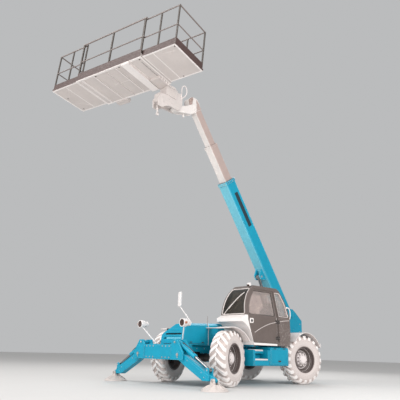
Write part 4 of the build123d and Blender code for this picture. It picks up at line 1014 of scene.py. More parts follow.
ARM = [(605, 600), (600, 680), (640, 725), (700, 728), (1715, 236), (1755, 190), (1725, 148), (1690, 150), (1600, 176), (1420, 176), (840, 455), (700, 535)]
SIDE_PLATE = [(905, 590), (1420, 340), (1520, 262), (1520, 212), (1432, 214), (905, 470)]
for name, side in (("left", 1), ("right", -1)):
    S = Shape()
    for sx in (1, -1):
        f = Fr((3886 + sx * 71, 0, 0), (0, 1, 0), (sx, 0, 0))  # y is up for the front face and down for the rear one
        k = 1 if sx > 0 else -1
        S.prism(f, [(side * y, k * z) for y, z in SIDE_PLATE], -1, 5, 4)
        S.tube([(3886 + sx * 72, side * y, z) for y, z in ((1472, 334), (1545, 300), (1590, 279))], 6, 8)
        S.lathe(f.sub(side * 1560, k * 378), [(-1, 0), (-1, 34), (6, 34), (10, 30), (10, 0)], 24)
    e = unit(np.array((0, side * 1015, -492)))
    for sx in (1, -1):  # rolled edges along the arm's upper plate
        S.tube([(3886 + sx * 66, side * y, z + 2) for y, z in ((720, 718), (1460, 361))], 7, 8)
    top = Fr((3886, side * 1060, 555), tuple(e), (0, side * 0.436, 0.9))
    S.box(top, -300, 330, -34, 34, -6, 5, 3)
    put("arm_plates_" + name, S, "cyan_paint", "stabiliser_" + name, "cyan_paint")
    S = Shape()
    for sx in (1, -1):
        f = Fr((3886 + sx * 80, side * 1560, 378), (0, 1, 0), (sx, 0, 0))
        S.pin(f, 17, 7)
        for y, z in ((960, 540), (1390, 325), (1470, 240)):
            k = 1 if sx > 0 else -1
            S.bolt(Fr((3886 + sx * 75.5, side * y, z), (0, 1, 0), (sx, 0, 0)), 8, 5)
    put("arm_pins_" + name, S, "bolt_steel", "stabiliser_" + name, "steel_dark")
    S = Shape()  # foot: gussets on the cone, rim and pin heads
    base = Fr((3886, side * 1707, 0), (1, 0, 0), (0, 0, 1))
    for i in range(10):
        a = 2 * math.pi * (i + 0.5) / 10
        f = base.sub(0, 0, 0, (0, 0, 1), (math.cos(a), math.sin(a), 0))
        S.prism(Fr(f.pt(0, 5, 0), f.x, f.y * -1.0), [(118, 100), (250, 24), (258, 34), (170, 92), (118, 118)], 0, 10, 0)
    S.ring(base, [(4, 266), (16, 266), (24, 262), (26, 254), (16, 252), (4, 254)], 56)
    S.ring(base, [(108, 96), (120, 96), (120, 114), (114, 118), (106, 114)], 40)
    put("foot_ribs_" + name, S, "foot_white", "pad_" + name, "white_shell")
    S = Shape()
    for sx in (1, -1):
        f = Fr((3886 + sx * 71, side * 1707, 190), (0, 1, 0), (sx, 0, 0))
        S.lathe(f, [(-1, 0), (-1, 34), (6, 34), (8, 31), (8, 21), (14, 20), (16, 17), (16, 0)], 24)
    put("foot_pins_" + name, S, "bolt_steel", "pad_" + name, "steel_dark")
    cu = unit(np.array((0, side * (1560 - 600), 378 - 905)))
    c0 = np.array((3886, side * 600, 905))
    S = Shape()
    f = Fr(c0, (1, 0, 0), tuple(cu))
    S.ring(f, [(560, 47), (560, 53), (606, 53), (612, 49), (612, 33), (604, 32), (598, 47)], 32)
    S.ring(f, [(96, 47), (96, 52), (118, 52), (118, 47)], 32)
    S.ring(f, [(330, 47), (330, 50), (346, 50), (346, 47)], 32)
    put("jack_collars_" + name, S, "cyan_paint", "stabiliser_cylinder_" + name, "cyan_paint")
    S = Shape()
    g = Fr(c0, (0, side * 0.48, 0.877), tuple(cu))  # x points up from the barrel
    for t in (140, 520):
        S.box(g, 44, 62, -16, 16, t - 16, t + 16, 3)
    S.tube([g.pt(56, 0, 140), g.pt(66, 0, 190), g.pt(66, 0, 470), g.pt(58, 0, 520)], 7, 8)
    put("jack_pipes_" + name, S, "steel_dark", "stabiliser_cylinder_" + name, "steel_dark")

# ================================================================ step, toolbox and chassis
S = Shape()
S.box(WORLD, 1532, 1988, 884, 1116, 590, 598, 3)
S.box(WORLD, 1532, 1988, 1114, 1123, 566, 600, 4)
S.box(WORLD, 1534, 1986, 884, 976, 800, 807, 3)
S.box(WORLD, 1534, 1986, 972, 981, 770, 809, 4)
for i in range(15):
    x = 1552 + 29.5 * i
    S.box(WORLD, x, x + 12, 894, 1104, 597, 602, 2)
    S.box(WORLD, x, x + 12, 890, 966, 806, 811, 2)
put("step_treads", S, "trim_light", "chassis", "white_shell")
S = Shape()
for x0, x1, z0, z1 in ((1450, 2036, 456, 556),):
    loop(S, outward(0, 1121, 0, 1), rounded([(-x0, z0), (-x1, z0), (-x1, z1), (-x0, z1)], 26), 5)
for x0, x1, z0, z1 in ((750, 1406, 468, 838), (772, 1384, 490, 816)):
    loop(S, outward(0, 1121, 0, 1), rounded([(-x0, z0), (-x1, z0), (-x1, z1), (-x0, z1)], 30), 4.5)
put("box_lids", S, "cyan_paint", "chassis", "cyan_paint")
S = Shape()
for x in (900, 1260):
    S.rod((x - 45, 1124, 838), (x + 45, 1124, 838), 8, 10)
f = outward(1078, 1121, 548, 1)
S.prism(f, rounded([(-52, -18), (52, -18), (52, 18), (-52, 18)], 10), -1, 7, 3)
S.box(f, -34, 34, -7, 7, 6, 14, 3)
for x in (1470, 2016):
    for z in (476, 536):
        S.bolt(outward(x, 1121, z, 1), 7, 5)
put("box_fittings", S, "steel_dark", "chassis", "steel_dark")

S = Shape()  # rolled lips and stays of the mudguards
for x, a0, a1 in ((2805, 76, 146), (0, 40, 152)):
    for side in (1, -1):
        for y in (1190, 796):
            S.tube([(x + 668 * math.cos(t), side * y, 598 + 668 * math.sin(t)) for t in np.radians(np.linspace(a0, a1, 26))], 9, 8)
        for a in (a0, a1):
            t = math.radians(a)
            S.tube([(x + 667 * math.cos(t), side * y, 598 + 667 * math.sin(t)) for y in (796, 990, 1190)], 9, 8)
        for t in np.radians(np.linspace(a0 + 12, a1 - 12, 4)):
            f = Fr((x + 674 * math.cos(t), side * 992, 598 + 674 * math.sin(t)), (0, 1, 0), (math.cos(t), 0, math.sin(t)))
            S.box(f, -188, 188, -9, 9, -2, 4, 2)
put("mudguard_lips", S, "guard_pale", "chassis", "guard_pale")
S = Shape()
for x in (2805, 0):
    for side in (1, -1):
        for y in (830, 720):
            for dx in (-55, 55):
                S.bolt(Fr((x + dx, side * y, 598 + 666 + (8 if y > 800 else 0)), (1, 0, 0), (0, 0, 1)), 8, 5)
for side in (1, -1):  # frame bolts outside the boxes
    for x in list(range(-820, 680, 250)) + list(range(2150, 3400, 240)):
        S.bolt(outward(x, side * 330, 790, side), 9, 6)
    for x, z in ((-900, 920), (-560, 920), (-200, 920), (120, 920), (-1040, 1560), (-1030, 1350)):
        S.bolt(outward(x, side * 250, z, side), 12, 8)
for y in (-380, 380):
    for z in (660, 1020):
        S.bolt(Fr((-1240, y, z), (0, 1, 0), (-1, 0, 0)), 20, 14)
put("chassis_bolts", S, "bolt_steel", "chassis", "steel_dark")
S = Shape()  # pivot caps, tower edges, counterweight ribs
for side in (1, -1):
    f = outward(-620, side * 250, 1800, side)
    S.lathe(f, [(-1, 0), (-1, 128), (8, 128), (14, 120), (14, 90), (30, 84), (44, 82), (48, 76), (48, 0)], 40)
    for i in range(6):
        a = math.pi * i / 3
        S.bolt(f.sub(104 * math.cos(a), 104 * math.sin(a), 13.5), 8, 6, False)
    S.tube([(x, side * 250, z) for x, z in ((326, 864), (238, 1006), (-182, 1496), (-442, 1856), (-542, 1957), (-698, 1957), (-828, 1878), (-1126, 1648))], 6, 8)
    S.prism(outward(0, side * 250, 0, side), [(-side * x, z) for x, z in ((-800, 1000), (120, 1000), (60, 1060), (-250, 1400), (-760, 1400), (-860, 1300), (-860, 1060))], -1, 6, 5)
for z in (700, 980):
    S.box(Fr((-1240, 0, z), (0, 1, 0), (-1, 0, 0)), -330, 330, -16, 16, -2, 6, 4)
put("tower_caps", S, "cyan_paint", "chassis", "cyan_paint")
S = Shape()  # towing pin with its handle, lift foot caps, diff covers
S.rod((-1290, 0, 388), (-1290, 0, 566), 18.5, 18)
S.tube([(-1290 + 26 * math.cos(t), 0, 588 + 26 * math.sin(t)) for t in np.linspace(0, 2 * math.pi, 20, endpoint=False)], 6, 8, True)
for side in (1, -1):
    S.lathe(outward(-350, side * 110, 950, side), [(-1, 0), (-1, 44), (8, 44), (11, 40), (11, 0)], 28)
for x, s in ((2805, 1), (0, -1)):
    f = Fr((x + s * 96, 0, 598), (0, 1, 0), (s, 0, 0))
    S.lathe(f, [(-8, 0), (-8, 172), (14, 172), (18, 166), (40, 148), (78, 104), (92, 52), (95, 0)], 36)
    for i in range(12):
        a = 2 * math.pi * i / 12
        S.bolt(f.sub(160 * math.cos(a), 160 * math.sin(a), 15), 8, 6, False)
    for side in (1, -1):
        for t in (300, 560):
            S.ring(Fr((x, side * t, 598), (0, 0, 1), (0, side, 0)), [(-10, 84), (-10, 98), (10, 98), (10, 84)], 32)
for x, y in ((360, 0), (2445, 0)):
    S.ring(Fr((x, 0, 620), (0, 0, 1), (1, 0, 0)), [(-24, 34), (-24, 58), (24, 58), (24, 34)], 24)
put("axle_covers", S, "steel_dark", "chassis", "steel_dark")
S = Shape()  # hood fins, latches and edge bead
for i in range(5):
    for z in (1074, 1101, 1128, 1155, 1182):
        y = -1150 + 50 * (z - 1010) / 260
        S.box(Fr((1030 + 170 * i, y + 14, z), (1, 0, 0), (0, 0.42, 0.9)), -51, 51, -12, 12, -3, 3, 1)
put("hood_fins", S, "black_slot", "engine_hood", "interior_plastic")
S = Shape()
flank = Fr((1390, -1125, 1140), (1, 0, 0), (0, -0.982, 0.189))
loop(S, flank, rounded([(-500, -100), (500, -100), (500, 84), (-500, 84)], 24), 5)
loop(S, Fr((1390, -680, 1396), (1, 0, 0), (0, -0.0665, 0.9978)), rounded([(-600, -250), (600, -250), (600, 250), (-600, 250)], 60), 6)
for x in (830, 1950):
    f = Fr((x, -1143, 1048), (1, 0, 0), (0, -0.982, 0.189))
    S.prism(f, rounded([(-24, -34), (24, -34), (24, 34), (-24, 34)], 10), -2, 7, 3)
    S.box(f, -7, 7, -26, 26, 5, 13, 3)
put("hood_beads", S, "cyan_paint", "engine_hood", "cyan_paint")
S = Shape()  # engine: rocker cover, manifold, filter
for i in range(4):
    x = 1130 + 190 * i
    S.box(WORLD, x - 76, x + 76, -860, -600, 1246, 1286, 12)
    S.rod((x, -904, 1080), (x, -965, 1040), 26, 16)
    S.bolt(Fr((x, -730, 1285), (1, 0, 0), (0, 0, 1)), 11, 9)
S.tube([(1090, -962, 1040), (1740, -962, 1040)], 32, 16)
S.lathe(Fr((1500, -1010, 700), (1, 0, 0), (0, 0, 1)), [(0, 0), (0, 44), (12, 50), (120, 50), (132, 44), (132, 0)], 28)
for i in range(9):
    S.box(WORLD, 952 + 100 * i, 960 + 100 * i, -1006, -998, 520, 1110, 2)
put("engine_parts", S, "engine_alloy", "chassis", "engine_alloy")
S = Shape()
for x in (880, 1900):
    S.rod((x - 60, -340, 1409), (x + 60, -340, 1409), 9, 12)
put("hood_hinges", S, "steel_dark", "chassis", "steel_dark")

# ================================================================ boom
S = Shape()  # plain dark stripe on both flanks
S.prism(Fr((-620, 155, 1800), (BC, 0, BS), (0, 1, 0)), rounded([(2850, -95), (3890, -95), (3890, 45), (2850, 45)], 20), -1, 1.6, 0)
S.prism(Fr((-620, -155, 1800), (BC, 0, BS), (0, -1, 0)), rounded([(2850, -45), (3890, -45), (3890, 95), (2850, 95)], 20), -1, 1.6, 0)
put("boom_stripe", S, "stripe_dark", "boom_outer", "interior_plastic")
S = Shape()  # welds, folded seams, ear gussets
for s in (4188,):
    S.tube([BOOM.pt(s, y, n) for y, n in rounded([(-157, -202), (157, -202), (157, 202), (-157, 202)], 24)], 7, 8, True)
for y in (1, -1):
    for n in (168, -168):
        S.tube([BOOM.pt(s, y * 155, n) for s in (60, 1200, 2600, 4180)], 4.5, 8)
    S.tube([BOOM.pt(s, y * 103, n) for s, n in ((1272, -204), (1390, -398), (1510, -398), (1628, -204))], 5, 8)
    S.lathe(Fr(BOOM.pt(1450, y * 102, -340), (BC, 0, BS), (0, y, 0)), [(-1, 0), (-1, 58), (5, 58), (8, 54), (8, 0)], 30)
    S.lathe(Fr(BOOM.pt(0, y * 155, 0), (BC, 0, BS), (0, y, 0)), [(-1, 62), (-1, 104), (8, 104), (12, 98), (12, 64)], 40)
S.tube([BOOM.pt(s, y, -200) for s, y in ((420, 120), (1240, 120))], 6, 8)
S.tube([BOOM.pt(s, y, -200) for s, y in ((420, -120), (1240, -120))], 6, 8)
S.prism(Fr(BOOM.pt(0, 0, -200), (BC, 0, BS), (BS, 0, -BC)), [(1180, -112), (1720, -112), (1760, -60), (1760, 60), (1720, 112), (1180, 112), (1140, 60), (1140, -60)], -1, 8, 6)
put("boom_outer_welds", S, "boom_cyan", "boom_outer", "cyan_paint")
S = Shape()
for y in (1, -1):
    for s in (4212, 4258):
        for n in (-150, -75, 0, 75, 150):
            S.bolt(Fr(BOOM.pt(s, y * 166, n), (BC, 0, BS), (0, y, 0)), 9, 6)
    S.pin(Fr(BOOM.pt(1450, y * 110, -340), (BC, 0, BS), (0, y, 0)), 28, 9)
for n in (1, -1):
    for s in (4212, 4258):
        for y in (-110, -40, 40, 110):
            S.bolt(Fr(BOOM.pt(s, y, n * 211), (BC, 0, BS), tuple(n * BOOM.z)), 9, 6)
put("boom_outer_bolts", S, "bolt_steel", "boom_outer", "steel_dark")
S = Shape()  # wear pads at the ends of the sections
for y in (-80, 0, 80):
    for n0, n1 in ((152, 196), (-196, -152)):
        S.box(BOOM, 4279, 4290, y - 34, y + 34, n0, n1, 3)
for n in (-70, 70):
    for y0, y1 in ((130, 160), (-160, -130)):
        S.box(BOOM, 4279, 4290, y0, y1, n - 40, n + 40, 3)
put("wear_pads_outer", S, "interior_plastic", "boom_outer", "interior_plastic")
S = Shape()
for y in (-60, 60):
    for n0, n1 in ((126, 148), (-148, -126)):
        S.box(BOOM, 5359, 5369, y - 36, y + 36, n0, n1, 3)
for n in (-50, 50):
    for y0, y1 in ((104, 126), (-126, -104)):
        S.box(BOOM, 5359, 5369, y0, y1, n - 36, n + 36, 3)
put("wear_pads_middle", S, "interior_plastic", "boom_middle", "interior_plastic")
S = Shape()
for y in (1, -1):
    for s in (5298, 5338):
        for n in (-100, 0, 100):
            S.bolt(Fr(BOOM.pt(s, y * 130, n), (BC, 0, BS), (0, y, 0)), 8, 5)
for n in (1, -1):
    for y in (-80, 80):
        S.bolt(Fr(BOOM.pt(5320, y, n * 152.5), (BC, 0, BS), tuple(n * BOOM.z)), 8, 5)
put("boom_middle_bolts", S, "bolt_steel", "boom_middle", "steel_dark")
S = Shape()
for y in (1, -1):
    for s in (6384, 6412):
        for n in (-90, 0, 90):
            S.bolt(Fr(BOOM.pt(s, y * 108, n), (BC, 0, BS), (0, y, 0)), 6, 4, False)
put("boom_inner_bolts", S, "bolt_steel", "boom_inner", "steel_dark")
S = Shape()  # two pipes with clamps along the right flank
for n in (70, 112):
    S.tube([BOOM.pt(s, -172, n) for s in np.linspace(760, 4120, 15)], 10, 10)
    for s in (752, 4128):
        S.lathe(Fr(BOOM.pt(s - 14, -172, n), (0, 0, 1), (BC, 0, BS)), [(0, 0), (0, 15), (28, 15), (28, 0)], 6)
put("boom_pipes", S, "steel_dark", "boom_outer", "steel_dark")
S = Shape()
for s in np.linspace(900, 4000, 7):
    S.box(BOOM, s - 22, s + 22, -186, -154, 50, 132, 5)
    S.bolt(Fr(BOOM.pt(s, -186, 91), (BC, 0, BS), (0, -1, 0)), 6, 4, False)
put("pipe_clamps", S, "boom_cyan", "boom_outer", "cyan_paint")

# lift cylinder: gland, port and feed pipe
LU = unit(np.array((850.5, 0, 1831.0)))
LF = Fr((-350, 0, 950), (0, 1, 0), tuple(LU))  # z along the cylinder, x to the left
S = Shape()
for t in (60, 110):
    S.ring(LF, [(t, 70), (t, 77), (t + 22, 77), (t + 22, 70)], 36)
put("lift_collars", S, "cyan_paint", "lift_cylinder", "cyan_paint")
S = Shape()
S.box(LF, -94, -66, -20, 20, 150, 200, 4)
S.tube([LF.pt(-84, 0, 190), LF.pt(-86, 0, 240), LF.pt(-86, 0, 940), LF.pt(-76, 0, 985)], 8, 10)
S.box(LF, -92, -66, -16, 16, 960, 1000, 4)
put("lift_pipe", S, "steel_dark", "lift_cylinder", "steel_dark")

# ================================================================ boom head
S = Shape()  # valve block on the neck with its couplings
f = Fr((-620, 80, 1800), (BC, 0, BS), (0, 1, 0))  # second coordinate runs down across the boom
S.prism(f, rounded([(6585, 130), (6745, -10), (6762, 60), (6735, 160), (6640, 196), (6592, 222)], 16), -2, 42, 7)
for s, n in ((6640, 120), (6690, 70), (6700, 130), (6655, 172)):
    S.lathe(f.sub(s, n, 40), [(0, 0), (0, 19), (8, 19), (10, 14), (22, 14), (24, 11), (24, 0)], 6 if s < 6660 else 14)
f2 = Fr((-620, -80, 1800), (BC, 0, BS), (0, -1, 0))
S.prism(f2, rounded([(6600, -200), (6720, -160), (6730, -20), (6610, -60)], 16), -2, 38, 7)
put("head_valve_block", S, "valve_brown", "boom_inner", "interior_plastic")
S = Shape()  # neck edges, clip under the neck
NECK = [(6345, -265), (6345, 135), (6540, 165), (6650, 148), (6735, 70), (6768, -55), (6738, -165), (6640, -198), (6588, -228), (6590, -310), (6602, -400), (6640, -505), (6706, -606)]
for y in (1, -1):
    S.tube([BOOM.pt(s, y * 78, n) for s, n in NECK], 6, 8)
    S.tube([BOOM.pt(s, y * 78, n) for s, n in ((6552, -752), (6487, -640), (6440, -500), (6385, -372), (6345, -268))], 6, 8)
    S.tube([BOOM.pt(s, y * 95, n) for s, n in ((6362, -128), (6362, 128))], 6, 8)
S.tube([BOOM.pt(s, 0, n) for s, n in ((6452, -500), (6425, -500), (6404, -516))], 11, 10)
S.lathe(Fr(BOOM.pt(6408, 0, -512), (0, 1, 0), (0.1, 0, -1)), [(0, 0), (0, 12), (14, 20), (60, 26), (72, 22), (76, 0)], 16)
put("neck_edges", S, "pale_paint", "boom_inner", "pale_paint")
S = Shape()  # rigid hoop behind the column
S.tube(smooth_path([(3735, 118, 7120), (3722, 128, 7200), (3722, 131, 7330), (3700, 131, 7430), (3645, 131, 7482), (3582, 131, 7465), (3548, 131, 7385), (3552, 131, 7290),
                    (3600, 130, 7190), (3668, 126, 7120), (3730, 118, 7070)], 5), 13, 12)
for p in ((3735, 122, 7120), (3732, 122, 7068)):
    S.lathe(Fr(p, (1, 0, 0), (0, 1, 0)), [(-4, 0), (-4, 24), (12, 24), (16, 20), (16, 0)], 20)
put("hose_hoop", S, "trim_light", "carriage", "white_shell")
S = Shape()  # cheeks' welds, pin caps and column bolts
CHEEK = [(3980, 6700), (3860, 6690), (3745, 6715), (3712, 6800), (3692, 6900), (3690, 7120), (3732, 7190), (3900, 7190), (3900, 6995), (4190, 6995), (4400, 6950), (4470, 6800), (4450, 6600), (4330, 6590), (4260, 6645), (4180, 6690), (4080, 6703)]
for y in (124, -124):
    S.tube([(x, y, z) for x, z in CHEEK], 5, 8, True)
    f = Fr((3819.7, y, 6798.8), (1, 0, 0), (0, 1 if y > 0 else -1, 0))
    S.lathe(f, [(-2, 0), (-2, 72), (6, 72), (9, 68), (9, 44), (14, 42), (17, 38), (17, 0)], 36)
    g = Fr((0, y, 0), (1, 0, 0), (0, -1, 0)) if y < 0 else Fr((0, y, 0), (-1, 0, 0), (0, 1, 0))
    k = 1 if y < 0 else -1
    S.prism(g, rounded([(k * 3990, 6770), (k * 4330, 6720), (k * 4380, 6900), (k * 4010, 6945)], 24), -1, 6, 5)
    S.tube(smooth_path([(3905, y, 6960), (4060, y * 1.02, 6985), (4220, y * 1.02, 6975)], 5), 6, 8)
put("carriage_welds", S, "carriage_paint", "carriage", "pale_paint")
S = Shape()
for y in (1, -1):
    for x, z in ((4040, 6800), (4120, 6880), (4300, 6760), (4340, 6870), (3760, 7010), (3850, 7140)):
        S.bolt(Fr((x, y * (130 if x > 3960 else 125), z), (1, 0, 0), (0, y, 0)), 8, 5)
SLW = Fr((4015, 0, 7282), (DCP, 0, DSP), (-DSP, 0, DCP))
for i in range(10):
    a = 2 * math.pi * i / 10
    S.bolt(SLW.sub(118 * math.cos(a) if abs(math.cos(a)) > 0 else 0, 118 * math.sin(a), -72), 7, 3, False)
S.ring(Fr((4389, 0, 6444), (1, 0, 0), (0.05, 0, 1)), [(-6, 20), (-6, 30), (10, 30), (16, 20)], 20)
put("carriage_bolts", S, "bolt_steel", "carriage", "steel_dark")
S = Shape()  # ribs on the column's flanks
for y in (1, -1):
    f = Fr(SLW.pt(35, y * 150, -190), tuple(SLW.x), (0, y, 0))
    for dx in (-120, -60, 0, 60, 120):
        S.box(f, dx - 9, dx + 9, -100, 100, -2, 6, 3)
put("column_ribs", S, "boom_side_pale", "carriage", "pale_paint")

# ================================================================ work platform
def rail_skins(S, rails):
    for p, q, r in rails:
        S.rod(DK.pt(*p), DK.pt(*q), r + 1.3, 16, 1.0)


S = Shape()
rail_skins(S, [((a, -1104, h), (a, 1104, h), r) for a in (590, -590) for h, r in ((1182, 18), (620, 14))])
for a in (590, -590):
    for b in (-1090, 0, 1090):  # sleeves at the posts
        for h, r in ((1182, 18), (620, 14)):
            S.rod(DK.pt(a, b - 34, h), DK.pt(a, b + 34, h), r + 4.5, 16, 2.0)
put("platform_rail_tubes", S, "rail_light", "platform", "rail_paint")
S, P = Shape(), Shape()
for k in (1, -1):
    S.box(DK, k * 607, k * 609.4, -1108, 1108, 104, 236, 0.8)
    S.box(DK, k * 614, k * 616.6, -1119, 1119, 12, 99, 0.8)
    S.box(DK, k * 606, k * 611, -1108, 1108, 234, 241, 1.5)
    for b in (-1090, 0, 1090):
        P.box(DK, k * 590 - 26, k * 590 + 26, b - 30, b + 30, 99.5, 108, 3)
        for da in (-20, 20):
            P.bolt(DK.sub(k * 590 + da, b + 24, 107), 5, 4, False)
            P.bolt(DK.sub(k * 590 + da, b - 24, 107), 5, 4, False)
put("platform_toe_skins", S, "toe_brown", "platform", "rail_paint")
put("platform_post_feet", P, "rail_paint", "platform", "rail_paint")
S = Shape()  # raised bars of the deck's tread
for i in range(54):
    for j in range(24):
        b, a = -1096 + 41.4 * i, -482 + 42 * j
        f = DK.sub(a, b, 100, (0, 0, 1), (math.cos(0.785 if (i + j) % 2 else -0.785), math.sin(0.785 if (i + j) % 2 else -0.785), 0))
        S.add(f.at(np.array([(-13, -3, 0), (13, -3, 0), (13, 3, 0), (-13, 3, 0), (-9, -1, 2), (9, -1, 2), (9, 1, 2), (-9, 1, 2)])),
              [(0, 3, 2, 1), (4, 5, 6, 7), (0, 1, 5, 4), (1, 2, 6, 5), (2, 3, 7, 6), (3, 0, 4, 7)])
put("deck_tread", S, "rail_light", "platform", "deck_metal", smooth=False)
S = Shape()  # underside of the base: seams, edge strips, brackets
for k in (1, -1):
    S.box(DK, k * 560, k * 612, -1116, 1116, -6, 1, 2)
for b in (-1100, 1092):
    S.box(DK, -556, 556, b - 16, b + 16, -5, 1, 2)
S.tube([DK.pt(24, -244, -1), DK.pt(11, 204, -1)], 4, 8)
for a in (-420, -210, 0, 210, 420):
    S.tube([DK.pt(a, 492, -1), DK.pt(a, 503, -12)], 6, 8)
for b in (498, 738):
    S.tube([DK.pt(-600, b, -2), DK.pt(600, b, -2)], 6, 8)
for a in (-560, -470, -380, -290):
    S.box(DK, a - 8, a + 8, 1061, 1082, -62, -2, 3)
put("deck_underside_frames", S, "rib_white", "platform", "deck_metal")
S = Shape()
for b in (-944, -902, -507, 250):
    S.box(DK, -556, 556, b - 13, b + 13, -20, 0, 3)
# pale plate under the cross beam: a painted highlight band
S.box(DK, -606, 606, 508, 728, -65.5, -60, 2)
put("deck_underside_ribs", S, "rib_white", "platform", "deck_metal")
D = Shape()  # drain slots and holes
for b in (994, 1012):
    D.box(DK, -196, 441, b - 3, b + 3, -1.6, 0.5, 0.5)
for a, b in ((537, 1024), (548, 361), (540, -463)):
    D.lathe(DK.sub(a, b, 0.5, (0, 0, -1), (1, 0, 0)), [(0, 0), (0, 20), (8, 20), (8, 13), (3, 12), (3, 0)], 20)
for a in (-860, -720):
    D.box(DK, a - 22, a + 22, 1060, 1063, -52, -22, 1)
put("deck_underside_slots", D, "post_dark", "platform", "interior_plastic")
S = Shape()  # control box
f = DK.sub(-688, -617, 70)
S.prism(f, rounded([(-62, -186), (62, -186), (62, 186), (-62, 186)], 16), -1, 8, 6)
loop(S, DK.sub(-760, -617, 15, (-1, 0, 0), (0, 1, 0)), rounded([(-180, -40), (180, -40), (180, 40), (-180, 40)], 14), 4)
put("control_box_lid", S, "rail_paint", "platform", "rail_paint")
S = Shape()
for i, b in enumerate((-110, -40, 30)):
    S.rod(f.pt(0, b, 6), f.pt(-12, b, 62), 6, 10)
    S.lathe(f.sub(-12, b, 60), [(0, 6), (5, 13), (18, 15), (28, 10), (31, 0)], 14)
S.lathe(f.sub(0, 120, 7), [(0, 0), (0, 24), (10, 24), (12, 18), (22, 26), (30, 26), (34, 20), (34, 0)], 22)
put("control_levers", S, "rubber", "platform", "interior_plastic")

for name, side in (("left", 1), ("right", -1)):
    body = "extension_" + name
    S = Shape()
    rail_skins(S, [((a, side * 1008, h), (a, side * 2112, h), r) for a in (540, -540) for h, r in ((1180, 16), (620, 13))])
    rail_skins(S, [((-536, side * 2100, h), (536, side * 2100, h), r) for h, r in ((1180, 16), (620, 13))])
    for a in (540, -540):
        for b in (1560, 2098):
            for h, r in ((1180, 16), (620, 13)):
                S.rod(DK.pt(a, side * (b - 26), h), DK.pt(a, side * (b + 18), h), r + 3.5, 14, 2.0)
    put("extension_rail_tubes_" + name, S, "rail_light", body, "rail_paint")
    S, P = Shape(), Shape()
    for k in (1, -1):
        S.box(DK, k * 553, k * 555.2, side * 1010, side * 2112, 84, 222, 0.8)
        S.box(DK, k * 552, k * 557, side * 1140, side * 2112, 219, 226, 1.5)
        for b in (1560, 2094):
            P.box(DK, k * 540 - 22, k * 540 + 22, side * (b - 26), side * (b + 22), 79.5, 87, 3)
            P.bolt(DK.sub(k * 540 - k * 17, side * (b - 20), 86), 5, 4, False)
    S.box(DK, -546, 546, side * 2115, side * 2117.4, 84, 222, 0.8)
    S.box(DK, -577, 577, side * 2119, side * 2121.6, 22, 79, 0.8)
    for k in (1, -1):
        S.box(DK, k * 577, k * 579.6, side * 1140, side * 2119, 22, 79, 0.8)
    S.box(DK, -546, 546, side * 2114, side * 2118.5, 219, 226, 1.5)
    put("extension_toe_skins_" + name, S, "toe_brown", body, "rail_paint")
    put("extension_post_feet_" + name, P, "rail_paint", body, "rail_paint")
    S = Shape()
    for i in range(23):
        for j in range(25):
            b, a = side * (1148 + 41.4 * i), -512 + 42 * j
            f = DK.sub(a, b, 80, (0, 0, 1), (math.cos(0.785 if (i + j) % 2 else -0.785), math.sin(0.785 if (i + j) % 2 else -0.785), 0))
            S.add(f.at(np.array([(-13, -3, 0), (13, -3, 0), (13, 3, 0), (-13, 3, 0), (-9, -1, 2), (9, -1, 2), (9, 1, 2), (-9, 1, 2)])),
                  [(0, 3, 2, 1), (4, 5, 6, 7), (0, 1, 5, 4), (1, 2, 6, 5), (2, 3, 7, 6), (3, 0, 4, 7)])
    put("extension_tread_" + name, S, "rail_light", body, "deck_metal", smooth=False)
    S, D = Shape(), Shape()
    for k in (1, -1):
        S.box(DK, k * 536, k * 576, side * 1140, side * 2116, 13.4, 17, 1.2)
    for b in (1160, 1447 if side > 0 else 1613, 2092):
        S.box(DK, -534, 534, side * (b - 14), side * (b + 14), 13.4, 17, 1.2)
    S.box(DK, -534, 534, side * 2104, side * 2118, 10, 20, 3)
    if side > 0:
        S.tube([DK.pt(432, 1640, 15.6), DK.pt(382, 1986, 15.6)], 2.4, 8)
        dots = ((-516, 1578), (510, 2062))
    else:
        S.tube([DK.pt(530, -1504, 15.6), DK.pt(166, -1896, 15.6)], 2.4, 8)
        S.tube([DK.pt(-520, -1490, 15.6), DK.pt(-180, -1900, 15.6)], 2.4, 8)
        dots = ((122, -1991), (-469, -1983))
    for a, b in dots:
        D.lathe(DK.sub(a, b, 16.5, (0, 0, -1), (1, 0, 0)), [(0, 0), (0, 20), (2.6, 20), (2.6, 13), (1.4, 12), (1.4, 0)], 20)
    put("extension_under_" + name, S, "rib_white", body, "deck_metal")
    put("extension_dots_" + name, D, "post_dark", body, "interior_plastic")

# ================================================================ stage, light and camera
def stage_mesh(name, pts, faces, material):
    me = bpy.data.meshes.new(name)
    me.from_pydata(pts, [], faces)
    ob = bpy.data.objects.new(name, me)
    bpy.context.scene.collection.objects.link(ob)
    me.materials.append(material)
    return ob


floor_mat = finish_material("floor_pale", lin(214, 212, 210), None, 0.0, 1.0, 0.985, (0.7, 0.82), grain=30.0, bump=0.02, blotch=0.4)
stage_mesh("floor", [(-60, -60, -0.001), (60, -60, -0.001), (60, 60, -0.001), (-60, 60, -0.001)], [(0, 1, 2, 3)], floor_mat)

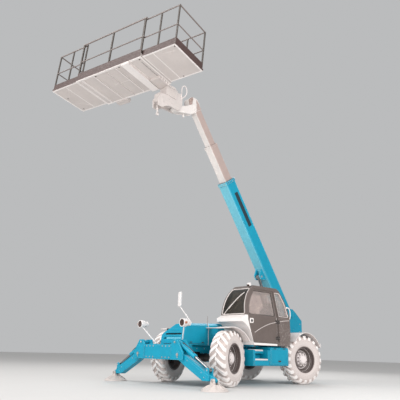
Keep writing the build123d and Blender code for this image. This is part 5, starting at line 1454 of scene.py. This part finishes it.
world = bpy.data.worlds.new("studio")
bpy.context.scene.world = world
world.use_nodes = True
bg = world.node_tree.nodes.get("Background")
bg.inputs["Color"].default_value = (0.80, 0.81, 0.82, 1.0)
bg.inputs["Strength"].default_value = 0.62


def area(name, loc, target, size, power, colour=(1, 1, 1)):
    data = bpy.data.lights.new(name, "AREA")
    data.shape = "RECTANGLE"
    data.size, data.size_y = size
    data.energy = power
    data.color = colour
    ob = bpy.data.objects.new(name, data)
    bpy.context.scene.collection.objects.link(ob)
    ob.location = loc
    ob.rotation_euler = (Vector(target) - Vector(loc)).to_track_quat("-Z", "Y").to_euler()
    ob.visible_camera = False
    return ob


area("key", (14.5, -3.4, 14.5), (0.5, 0.0, 3.0), (10.0, 10.0), 1950.0, (1.0, 0.985, 0.97))
area("left_soft", (0.5, 12.0, 6.5), (0.0, 0.0, 3.0), (8.0, 6.0), 980.0)
area("low_front", (19.0, 6.0, 1.3), (1.5, 0.0, 5.0), (13.0, 2.4), 1650.0)
area("back_rim", (-9.0, -5.0, 9.0), (0.0, 0.0, 4.0), (6.0, 6.0), 500.0)

CAM = Vector((10.852 - OX / 1000, 8.668 - OY / 1000, 0.717))
YAW, PITCH, ROLL, FOCAL = 3.966, 0.310, 0.028, 474.02
d = Vector((math.cos(PITCH) * math.cos(YAW), math.cos(PITCH) * math.sin(YAW), math.sin(PITCH)))
r0 = d.cross(Vector((0, 0, 1))).normalized()
u0 = r0.cross(d)
rr = math.cos(ROLL) * r0 + math.sin(ROLL) * u0
uu = -math.sin(ROLL) * r0 + math.cos(ROLL) * u0
cam_data = bpy.data.cameras.new("camera")
cam_data.sensor_fit = "HORIZONTAL"
cam_data.sensor_width = 36.0
cam_data.lens = FOCAL * 36.0 / 400.0
cam_data.clip_end = 200.0
cam = bpy.data.objects.new("camera", cam_data)
bpy.context.scene.collection.objects.link(cam)
cam.matrix_world = Matrix(((rr.x, uu.x, -d.x, CAM.x), (rr.y, uu.y, -d.y, CAM.y), (rr.z, uu.z, -d.z, CAM.z), (0, 0, 0, 1)))
bpy.context.scene.camera = cam
bpy.context.scene.view_settings.view_transform = "Standard"
